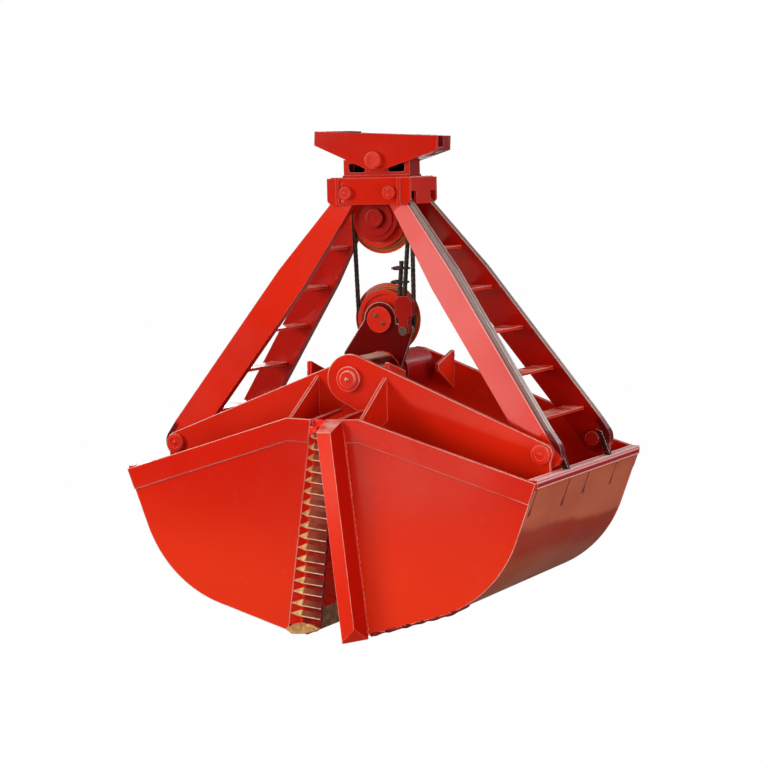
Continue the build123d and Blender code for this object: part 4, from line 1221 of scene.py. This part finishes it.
def makeRibShape():
    size = ribSize
    low, fold, rise = lapSize["face"], lapSize["fold"], size["tipRise"]
    stations = [(out, 1.0, 0.0, low) for out in size["stations"]]
    stations += [(fold, 0.52, 0.5, (low + rise) / 2), (fold, 0.04, 1.0, rise)]
    bm = bmesh.new()
    tipLayer = bm.verts.layers.float.new("tip")
    for face in faces.values():
        rings = []
        for out, share, tip, floor in stations:
            ring = []
            for along, height in size["section"]:
                depth = floor + (lapSize["crest"] - low) * height * share
                drop = along * share - size["tipDrop"] * (1 - share)
                place = jawPoint(-1, drop, out + tip * 0.001, face * depth)
                vert = bm.verts.new(place - Vector((0, 0, hingeZ)))
                vert[tipLayer] = tip
                ring.append(vert)
            rings.append(ring)
        for lower, upper in zip(rings, rings[1:]):
            for index in range(len(lower)):
                after = (index + 1) % len(lower)
                bm.faces.new((lower[index], lower[after], upper[after], upper[index]))
        bm.faces.new(rings[0])
        bm.faces.new(list(reversed(rings[-1])))
    return pieceFrom(bm, "ribShape", steel["ribs"])


def makeRibTree(sizes):
    tree, start, end = geometryTree("jawRibs", sizes, Rib="Object", Material="Material")
    line = {"Count": start["Count"], "Start Location": start["First"], "Offset": start["Step"]}
    line = put(tree, "GeometryNodeMeshLine", {"mode": "OFFSET"}, **line)[0]
    ends = {"Min": (0, 0, -ribSize["drift"]), "Max": (0, 0, ribSize["drift"]), "Seed": start["Seed"]}
    drift = put(tree, "FunctionNodeRandomValue", {"data_type": "FLOAT_VECTOR"}, **ends)[0]
    shape = put(tree, "GeometryNodeObjectInfo", None, Object=start["Rib"])["Geometry"]
    uneven = moved(line, drift)
    laid = put(tree, "GeometryNodeInstanceOnPoints", None, Points=uneven, Instance=shape)[0]
    solid = put(tree, "GeometryNodeRealizeInstances", None, Geometry=laid)[0]
    height = axes(put(tree, "GeometryNodeInputPosition")[0])["Z"]
    reach = ramp(height, *ribSize["heights"], start["Tip Top"], start["Tip Foot"], smooth=False)
    pull = scaled(start["Tip Way"], times(named(tree, "tip", "FLOAT"), reach))
    pointed = moved(solid, pull)
    fine = put(tree, "GeometryNodeSubdivideMesh", None, Mesh=pointed, Level=1)[0]
    lumps = {"Scale": ribSize["lumpScale"], "Detail": 2.0}
    lumps = put(tree, "ShaderNodeTexNoise", {"noise_dimensions": "3D"}, **lumps)["Color"]
    centred = vectorCalc("SUBTRACT", lumps, (0.5, 0.5, 0.5))[0]
    lumpy = moved(fine, scaled(centred, start["Roughness"]))
    closeTree(shadedSmooth(lumpy), start["Material"], end)
    return tree


def makeRibs():
    size = ribSize
    origin = jawPoint(-1, 0, 0, 0)
    lastRib = size["first"] + size["pitch"] * (size["count"] - 1)
    sizes = {
        "Count": size["count"],
        "First": tuple(jawPoint(-1, size["first"], 0, 0)),
        "Step": tuple(jawPoint(-1, size["pitch"], 0, 0) - origin),
        "Tip Way": tuple(jawPoint(-1, 0, 1, 0) - origin),
        "Tip Top": lapEdge(size["first"]) - lapSize["fold"],
        "Tip Foot": lapEdge(lastRib) - lapSize["fold"],
        "Roughness": size["roughness"],
        "Seed": size["seed"],
    }
    shape = makeRibShape()
    values = {**sizes, "Rib": shape, "Material": steel["ribs"]}
    ribs = grow(makeRibTree(sizes), pathsObject("ribSource", []), values, "leftLapRibs")
    removePiece(shape)
    smoothByAngle(ribs.data, 40)
    return ribs


lapStrips = seat(makeLapStrips(), "left_scoop")
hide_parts("left_scoop_front_lap_strip", "left_scoop_back_lap_strip")
seat(makeLapToes(), "left_scoop")
lapRibs = seat(makeRibs(), "left_scoop")
print("left jaw ready:", len(lapRibs.data.polygons), "faces")

# Weld seams: rippled beads along the joints of each weldment
weldSize = {"Radius": 0.0055, "Step": 0.008, "Ripple": 0.011, "Depth": 0.22, "Sides": 7}


def makeWeldTree():
    tree, start, end = geometryTree("weldSeams", weldSize, Material="Material")
    curve = put(tree, "GeometryNodeMeshToCurve", None, Mesh=start["Geometry"])[0]
    even = evenCurve(curve, start["Step"])
    along = put(tree, "GeometryNodeSplineParameter")["Length"]
    wave = calc("SINE", times(calc("DIVIDE", along, start["Ripple"]), 2 * pi))
    patch = put(tree, "ShaderNodeTexNoise", {"noise_dimensions": "3D"}, Scale=28.0, Detail=1.0)[0]
    swell = plus(times(wave, start["Depth"]), plus(patch, 0.5))
    bead = tube(even, start["Sides"], start["Radius"], Scale=swell)
    closeTree(shadedSmooth(bead), start["Material"], end)
    return tree


weldTree = makeWeldTree()


def weldPiece(name, body, paths, material="welds", **changes):
    values = {**weldSize, **changes, "Material": paint[material]}
    seat(grow(weldTree, pathsObject(name + "Source", paths), values, name), body)


scoopSeamSize = {
    "gussetX": (0.182, 0.198),
    "gussetZ": (0.008, -0.204),
    "gussetFootZ": (-0.180, -0.281),
    "finThickness": 0.016,
    "finZ": (0.078, -0.112),
    "back": ((1.059, -0.482), (0.986, -0.678)),
    "shellY": 0.7205,
    "shellTop": (1.058, -0.480),
    "shellFoot": (0.250, -1.1769),
    "shellRadius": 0.594,
    "shellTurns": (radians(-20.5), radians(-73.1)),
    "shellSteps": 14,
    "bar": {"along": (0.235, 1.205), "out": 0.0885, "y": 0.7415},
    "tie": ((0.062, -0.151), (0.062, -0.165)),
    "rim": (1.0745, -0.4715),
    "rimHalf": 0.719,
    "lip": (0.197, -1.2090),
}


def plateSeam(side, y, *points):
    return [scoopPoint(side, x, y, z) for x, z in points]


def crossSeam(side, half, x, z):
    return [scoopPoint(side, x, y, z) for y in (-half, half)]


def shellSeam(side, y, radius):
    size = scoopSeamSize
    first, last = size["shellTurns"]
    points = [size["shellTop"]]
    for step in range(size["shellSteps"] + 1):
        turn = first + (last - first) * step / size["shellSteps"]
        points.append((shellCentre[0] + radius * cos(turn), shellCentre[1] + radius * sin(turn)))
    return plateSeam(side, y, *points, size["shellFoot"])


def scoopSeams(sideName):
    size = scoopSeamSize
    side = sides[sideName]
    inner = hingePlateInner[sideName]
    outer = inner + hingePlateThickness
    fin = finPlaces[sideName]
    bar = size["bar"]
    paths = []
    for face in faces.values():
        for x in size["gussetX"]:
            paths.append(plateSeam(side, face * outer, *[(x, z) for z in size["gussetZ"]]))
            paths.append(plateSeam(side, face * sidePlateInner, *[(x, z) for z in size["gussetFootZ"]]))
        for x in (fin, fin + size["finThickness"]):
            paths.append(plateSeam(side, face * inner, *[(x, z) for z in size["finZ"]]))
        for y in (inner, outer):
            paths.append(plateSeam(side, face * y, *size["back"]))
        paths.append(shellSeam(side, face * size["shellY"], size["shellRadius"]))
        if side > 0:
            paths.append([jawPoint(side, along, bar["out"], face * bar["y"]) for along in bar["along"]])
        paths.append(plateSeam(side, face * outer, *size["tie"]))
    paths.append(crossSeam(side, size["rimHalf"], *size["rim"]))
    paths.append(crossSeam(side, lipHalves[sideName], *size["lip"]))
    return paths


armSeamSize = {
    "count": 5, "first": 0.335, "pitch": 0.250, "halfX": 0.054, "thickness": 0.014, "inset": 0.026,
}


def armSeams(sideName):
    size = armSeamSize
    lowAlong, highAlong = armSplay["along"]
    lowY, highY = armSplay["y"]
    splay = (highY - lowY) / (highAlong - lowAlong)
    paths = []
    for index in range(size["count"]):
        along = size["first"] + size["pitch"] * index
        middle = armTop + armDown * along
        for z in (0.0, -size["thickness"]):
            for face in faces.values():
                seam = []
                for x in (-size["halfX"], size["halfX"]):
                    y = lowY + (x * armDown.x + along - lowAlong) * splay - size["inset"]
                    seam.append(Vector((sides[sideName] * (middle.x + x), face * y, middle.z + z)))
                paths.append(seam)
    return paths


headSeamSize = {
    "ribX": 0.168,
    "ribHalf": 0.0085,
    "ribY": 0.1642,
    "ribMargin": 0.004,
    "base": (0.181, 0.0762, headTopZ + 0.001),
    "lugs": ((0.171, 0.044, -0.0725), (0.171, 0.062, -0.0725)),
    "top": (0.210, 0.1478, headTopZ),
    "ends": ((0.2122, 0.146, headTopZ), (0.1822, 0.075, headTopZ + 0.001)),
}


def headSeams():
    size = headSeamSize
    heights = (headTopZ - size["ribMargin"], headBottomZ + size["ribMargin"])
    paths = []
    for face in faces.values():
        for ribX in (-size["ribX"], size["ribX"]):
            for edge in (-size["ribHalf"], size["ribHalf"]):
                paths.append([(ribX + edge, face * size["ribY"], z) for z in heights])
        for half, y, z in (size["base"], *size["lugs"], size["top"]):
            paths.append([(x, face * y, z) for x in (-half, half)])
    for x, half, z in size["ends"]:
        for side in sides.values():
            paths.append([(side * x, y, z) for y in (-half, half)])
    return paths


# Seams round the hub: depth, radius, first and last angle, with the back's outer one starting later
blockSeamSize = {
    "outer": (0.0582, 0.104, 6, 174),
    "inner": (0.0418, 0.082, 8, 172),
    "backFirst": 33,
    "steps": 28,
}


def blockSeams():
    size = blockSeamSize
    steps = size["steps"]
    paths = []
    for face in faces.values():
        for key in ("outer", "inner"):
            y, radius, first, last = size[key]
            if key == "outer" and face > 0:
                first = size["backFirst"]
            turns = [radians(first + (last - first) * step / steps) for step in range(steps + 1)]
            paths.append([(radius * cos(turn), face * y, hingeZ + radius * sin(turn)) for turn in turns])
    return paths


beamSeamSize = {"y": 0.067, "lines": (((0.203, 0.1300), (0.262, 0.1300)), ((0.200, 0.128), (0.200, 0.012)))}


def beamSeams():
    paths = []
    for face in faces.values():
        for side in sides.values():
            for line in beamSeamSize["lines"]:
                paths.append([beamPoint(side * x, face * beamSeamSize["y"], z) for x, z in line])
    return paths


weldPiece("beamWelds", "equalizer_beam", beamSeams(), Radius=0.0045)
weldPiece("headWelds", "head", headSeams(), Radius=0.0042)
weldPiece("lowerBlockWelds", "lower_block", blockSeams(), Radius=0.006)
for sideName in sides:
    weldPiece(f"{sideName}ScoopWelds", f"{sideName}_scoop", scoopSeams(sideName))
    weldPiece(f"{sideName}ArmWelds", f"{sideName}_arm", armSeams(sideName), Radius=0.0045)

# The lower edge of the right scoop's front side, battered along the floor
footSeamSize = {"y": 0.7255, "radius": 0.6115, "firstPoint": 11, "foot": (0.226, -1.2005)}
footBead = {"Radius": 0.0098, "Ripple": 0.083, "Depth": 0.17}


def footSeam():
    size = footSeamSize
    y = faces["front"] * size["y"]
    path = shellSeam(1, y, size["radius"])[size["firstPoint"]:-1]
    return path + plateSeam(1, y, size["foot"])


weldPiece("rightFootSeams", "right_scoop", [footSeam()], "footSeams", **footBead)
print("welds laid")

# Hex bolts: washer, head and chamfer on each point, turned to its aim
boltSize = {
    "Washer": 1.25, "Washer Tall": 0.16, "Head": 1.0, "Head Tall": 0.62,
    "Cap": 0.86, "Cap Tall": 0.10, "Seed": 11,
}


def makeBoltTree():
    tree, start, end = geometryTree("hexBolts", boltSize, Material="Material")

    def stacked(mesh, height):
        lift = put(tree, "ShaderNodeCombineXYZ", None, Z=height)[0]
        return put(tree, "GeometryNodeTransform", None, Geometry=mesh, Translation=lift)[0]

    def disc(label, corners):
        values = {"Vertices": corners, "Radius": start[label], "Depth": start[label + " Tall"]}
        return put(tree, "GeometryNodeMeshCylinder", None, **values)[0]

    cap = {"Radius_Top": times(start["Cap"], 0.84), "Radius_Bottom": start["Cap"]}
    cap = put(tree, "GeometryNodeMeshCone", None, Vertices=20, Depth=start["Cap Tall"], **cap)[0]
    headMiddle = plus(start["Washer Tall"], times(start["Head Tall"], 0.5))
    bolt = joined((
        stacked(disc("Washer", 20), times(start["Washer Tall"], 0.5)),
        stacked(disc("Head", 6), headMiddle),
        stacked(cap, plus(start["Washer Tall"], start["Head Tall"])),
    ))
    settings = {"data_type": "FLOAT"}
    spin = put(tree, "FunctionNodeRandomValue", settings, i2=0.0, i3=pi / 3, Seed=start["Seed"])[1]
    turned = put(tree, "FunctionNodeAxisAngleToRotation", None, Axis=(0, 0, 1), Angle=spin)[0]
    aim = named(tree, "aim", "FLOAT_VECTOR")
    aimed = put(tree, "FunctionNodeAlignRotationToVector", {"axis": "Z"}, Vector=aim)[0]
    settings = {"rotation_space": "LOCAL"}
    both = put(tree, "FunctionNodeRotateRotation", settings, Rotation=aimed, Rotate_By=turned)[0]
    points = put(tree, "GeometryNodeMeshToPoints", None, Mesh=start["Geometry"])[0]
    placed = {"Points": points, "Instance": bolt, "Rotation": both, "Scale": named(tree, "girth", "FLOAT")}
    closeTree(put(tree, "GeometryNodeInstanceOnPoints", None, **placed)[0], start["Material"], end)
    return tree


boltTree = makeBoltTree()

# Bolts' places as x, depth, z and girth, the same on both faces
headBoltPlaces = (
    (-0.141, 0.164, -0.118, 0.0070),
    (-0.141, 0.164, -0.203, 0.0070),
    (0.119, 0.1865, -0.146, 0.0065),
    (0.119, 0.1865, -0.176, 0.0065),
)
capBoltPlaces = ((-0.015, 0.074, lowerAxleZ + 0.019, 0.0090), (0.023, 0.074, lowerAxleZ - 0.018, 0.0090))


def boltPiece(name, body, places, material):
    bolts = [((x, face * y, z), face, girth) for face in faces.values() for x, y, z, girth in places]
    mesh = bpy.data.meshes.new(name + "Points")
    mesh.from_pydata([place for place, face, girth in bolts], [], [])
    mesh.attributes.new("aim", "FLOAT_VECTOR", "POINT")
    mesh.attributes.new("girth", "FLOAT", "POINT")
    for index, (place, face, girth) in enumerate(bolts):
        mesh.attributes["aim"].data[index].vector = (0, face, 0)
        mesh.attributes["girth"].data[index].value = girth
    values = {**boltSize, "Material": material}
    piece = grow(boltTree, linkPiece(name + "Source", mesh), values, name)
    smoothByAngle(piece.data, 30)
    seat(piece, body)


boltPiece("headBolts", "head", headBoltPlaces, paint["pins"])
boltPiece("lowerCapBolts", "lower_block", capBoltPlaces, steel["bolts"])
print("bolts set:", len(faces) * (len(headBoltPlaces) + len(capBoltPlaces)))

# Doubler rings on the hangers
doublerSize = {"y": 0.080, "inner": 0.052, "outer": 0.092, "thick": 0.007, "chamfer": 0.002}


def makeDoublers():
    size = doublerSize
    inner, outer, thick, chamfer = size["inner"], size["outer"], size["thick"], size["chamfer"]
    profile = [(inner, 0.0), (outer, 0.0), (outer, thick - chamfer), (outer - chamfer, thick)]
    profile += [(inner + chamfer, thick), (inner, thick - chamfer), (inner, 0.0)]
    bm = bmesh.new()
    for face in faces.values():
        addLathe(bm, (0, face * size["y"], upperAxleZ), (0, face, 0), profile, 64)
    return pieceFrom(bm, "hangerDoublers", paint["hanger"])


seat(makeDoublers(), "head")

# Turned faces of the pins: body, paint, place, then the ring's outer and inner radius and the dimple's
ringRise = 0.0035
ringChamfer = 0.002
footPinCap = 0.020
pinRows = {
    "beamPinFaces": ("equalizer_beam", "pins", (0, 0.110, 0), 0.040, 0.022, 0.0),
    "headPinFaces": ("head", "pins", (-0.119, 0.186, -0.161), 0.030, 0.021, 0.012),
    "upperAxleFaces": ("head", "hanger", (0, 0.108, upperAxleZ), 0.044, 0.030, 0.011),
}
for sideName, side in sides.items():
    capY = hingePlateInner[sideName] + hingePlateThickness + footPinCap
    place = (side * armFoot.x, capY, armFoot.z)
    pinRows[f"{sideName}FootPinFaces"] = (f"{sideName}_scoop", "pins", place, 0.044, 0.026, 0.011)


def pinFaces(name, body, look, place, outer, inner, dimple):
    x, y, z = place
    shoulder = ringRise * 0.6
    ring = [(inner, 0.0), (outer, 0.0), (outer, shoulder), (outer - ringChamfer, ringRise)]
    ring += [(inner + ringChamfer, ringRise), (inner, shoulder), (inner, 0.0)]
    bowl = [(0, 0.004), (dimple * 0.6, 0.004), (dimple, 0.001), (dimple, -0.001), (0, -0.001)]
    bm = bmesh.new()
    for face in faces.values():
        addLathe(bm, (x, face * y, z), (0, face, 0), ring, 48)
        if dimple:
            addLathe(bm, (x, face * y, z), (0, face, 0), bowl, 24)
    seat(pieceFrom(bm, name, paint[look]), body)


for name, row in pinRows.items():
    pinFaces(name, *row)

# Grease fittings on the hinge shaft's ends
fittingSize = {
    "y": 0.457,
    "scale": 1.2,
    "profile": (
        (0.0075, 0.0), (0.0075, 0.005), (0.0045, 0.006), (0.0045, 0.010),
        (0.0055, 0.012), (0.0040, 0.016), (0.0, 0.017),
    ),
}


def makeFittings():
    size = fittingSize
    profile = [(radius * size["scale"], rise * size["scale"]) for radius, rise in size["profile"]]
    bm = bmesh.new()
    for face in faces.values():
        addLathe(bm, (0, face * size["y"], hingeZ), (0, face, 0), profile, 20)
    return pieceFrom(bm, "hingeGreaseFittings", steel["grease"])


seat(makeFittings(), "lower_block")
print("pins finished")

# Clamp plates on the beam's top, over the left rope: first and last x, thickness, half depth
clampSize = {
    "z": 0.133,
    "plates": (
        (-0.292, -0.262, 0.0020, 0.040),
        (-0.250, -0.205, 0.0042, 0.060),
        (-0.196, -0.140, 0.0068, 0.050),
    ),
}


def makeBeamClamps():
    bm = bmesh.new()
    for first, last, thick, half in clampSize["plates"]:
        corners = ((first, -half), (last, -half), (last, half), (first, half))
        addPrism(bm, [beamPoint(x, y, clampSize["z"]) for x, y in corners], beamPoint(0, 0, thick))
    return pieceFrom(bm, "beamClampPlates", steel["clips"], bevel=0.0008)


seat(makeBeamClamps(), "equalizer_beam")

# Straps from the arm pins' inner ends to the rims
strapSize = {
    "outline": ((1.018, -0.296), (1.048, -0.310), (1.091, -0.4255), (1.061, -0.4255)),
    "inner": 0.282,
    "thick": 0.025,
}


def makeStraps(sideName):
    size = strapSize
    bm = bmesh.new()
    for face in faces.values():
        outline = plateSeam(sides[sideName], face * size["inner"], *size["outline"])
        addPrism(bm, outline, (0, face * size["thick"], 0))
    return pieceFrom(bm, f"{sideName}RimStraps", paint["straps"], bevel=0.002)


for sideName in sides:
    seat(makeStraps(sideName), f"{sideName}_scoop")
print("straps set")

# Studio: pale floor, white surround, soft lights
studio = {
    "floorZ": -3.05,
    "floorRadius": 60.0,
    "floorColour": (0.20, 0.195, 0.19, 1),
    "floorGlow": 0.99,
    "front": 0.05,
    "behind": 0.22,
    "above": 0.70,
    "surroundTint": (1.0, 0.985, 0.97, 1),
}
white = (1, 1, 1, 1)


def makeFloor():
    mesh = bpy.data.meshes.new("studioFloor")
    bm = bmesh.new()
    bmesh.ops.create_circle(bm, cap_ends=True, radius=studio["floorRadius"], segments=96)
    bmesh.ops.translate(bm, verts=bm.verts, vec=(0, 0, studio["floorZ"]))
    bm.to_mesh(mesh)
    bm.free()
    made, tree, shader = newMaterial("paleFloor", Base_Color=studio["floorColour"], Roughness=0.9)
    seen = put(tree, "ShaderNodeLightPath")["Is Camera Ray"]
    glow = put(tree, "ShaderNodeEmission", None, Color=white, Strength=1.0)[0]
    share = times(seen, studio["floorGlow"])
    mixed = put(tree, "ShaderNodeMixShader", None, i0=share, i1=shader.outputs[0], i2=glow)[0]
    tree.links.new(mixed, tree.nodes["Material Output"].inputs["Surface"])
    return linkPiece("studioFloor", mesh, made)


def makeSurround():
    world = bpy.data.worlds.new("studioSurround")
    world.use_nodes = True
    tree = world.node_tree
    tree.nodes.clear()
    parts = axes(coordinates(tree)["Generated"])
    backward = ramp(parts["Y"], -0.35, 0.75, studio["front"], studio["behind"])
    upward = ramp(parts["Z"], 0.15, 0.95, 0.0, studio["above"])
    level = calc("MAXIMUM", backward, upward)
    dim = put(tree, "ShaderNodeBackground", None, Color=studio["surroundTint"], Strength=level)[0]
    plain = put(tree, "ShaderNodeBackground", None, Color=white, Strength=1.0)[0]
    seen = put(tree, "ShaderNodeLightPath")["Is Camera Ray"]
    mixed = put(tree, "ShaderNodeMixShader", None, i0=seen, i1=dim, i2=plain)[0]
    tree.links.new(mixed, tree.nodes.new("ShaderNodeOutputWorld").inputs["Surface"])
    return world


makeFloor()
scene.world = makeSurround()

lamps = {
    "keyPanel": dict(at=(-6.2, -6.0, 1.6), to=(0, 0, -1.5), size=(3, 3), power=390, tint=(1.0, 0.97, 0.93)),
    "armSheen": dict(
        at=(-8.9, -13.0, 1.7), to=(0.45, -0.25, -0.55), size=(3, 3.4), power=290, tint=(1.0, 0.98, 0.98)
    ),
    "lowGlow": dict(
        at=(-1.13, -4.35, -1.90), to=(0.5, -0.75, -1.75), size=(1, 0.6), power=12, tint=(1.0, 0.78, 0.60)
    ),
    "frontFill": dict(
        at=(1.3, -5.2, -1.4), to=(0.3, -0.75, -1.5), size=(2, 2), power=66, tint=(1.0, 0.95, 0.90)
    ),
    "sideFill": dict(at=(7.0, -2.5, -1.2), to=(0, 0, -1.4), size=(3, 3), power=200, tint=(1.0, 0.98, 0.96)),
    "rearPanel": dict(at=(4.0, 6.5, 3.0), to=(0, 0, -1.2), size=(4, 4), power=230, tint=(0.97, 0.98, 1.0)),
    "rearFill": dict(at=(-4.5, 8.0, -0.9), to=(0, 0, -1.4), size=(3, 3), power=260, tint=(1.0, 0.98, 0.96)),
}
for name, lamp in lamps.items():
    data = bpy.data.lights.new(name, "AREA")
    data.shape = "RECTANGLE"
    data.size, data.size_y = lamp["size"]
    data.energy = lamp["power"]
    data.color = lamp["tint"]
    panel = bpy.data.objects.new(name, data)
    scene.collection.objects.link(panel)
    panel.location = lamp["at"]
    panel.rotation_euler = (Vector(lamp["to"]) - Vector(lamp["at"])).to_track_quat("-Z", "Y").to_euler()
    panel.visible_camera = False

# Camera at the photograph's viewing angle
view = {
    "azimuth": radians(25.03),
    "elevation": radians(5.08),
    "roll": radians(-1.28),
    "lens": 113.72,
    "sensor": 36.0,
    "at": (5.158, -11.076, -0.041),
}


def makeCamera():
    turn, rise, roll = view["azimuth"], view["elevation"], view["roll"]
    backward = Vector((sin(turn) * cos(rise), -cos(turn) * cos(rise), sin(rise)))
    right = Vector((cos(turn), sin(turn), 0))
    up = backward.cross(right)
    cameraX = right * cos(roll) + up * sin(roll)
    cameraY = up * cos(roll) - right * sin(roll)
    lens = bpy.data.cameras.new("photoCamera")
    lens.lens = view["lens"]
    lens.sensor_width = view["sensor"]
    lens.clip_end = 200.0
    camera = bpy.data.objects.new("photoCamera", lens)
    scene.collection.objects.link(camera)
    turned = Matrix((cameraX, cameraY, backward)).transposed().to_4x4()
    camera.matrix_world = Matrix.Translation(view["at"]) @ turned
    return camera


scene.camera = makeCamera()
scene.view_settings.view_transform = "Standard"
print("studio and camera set")
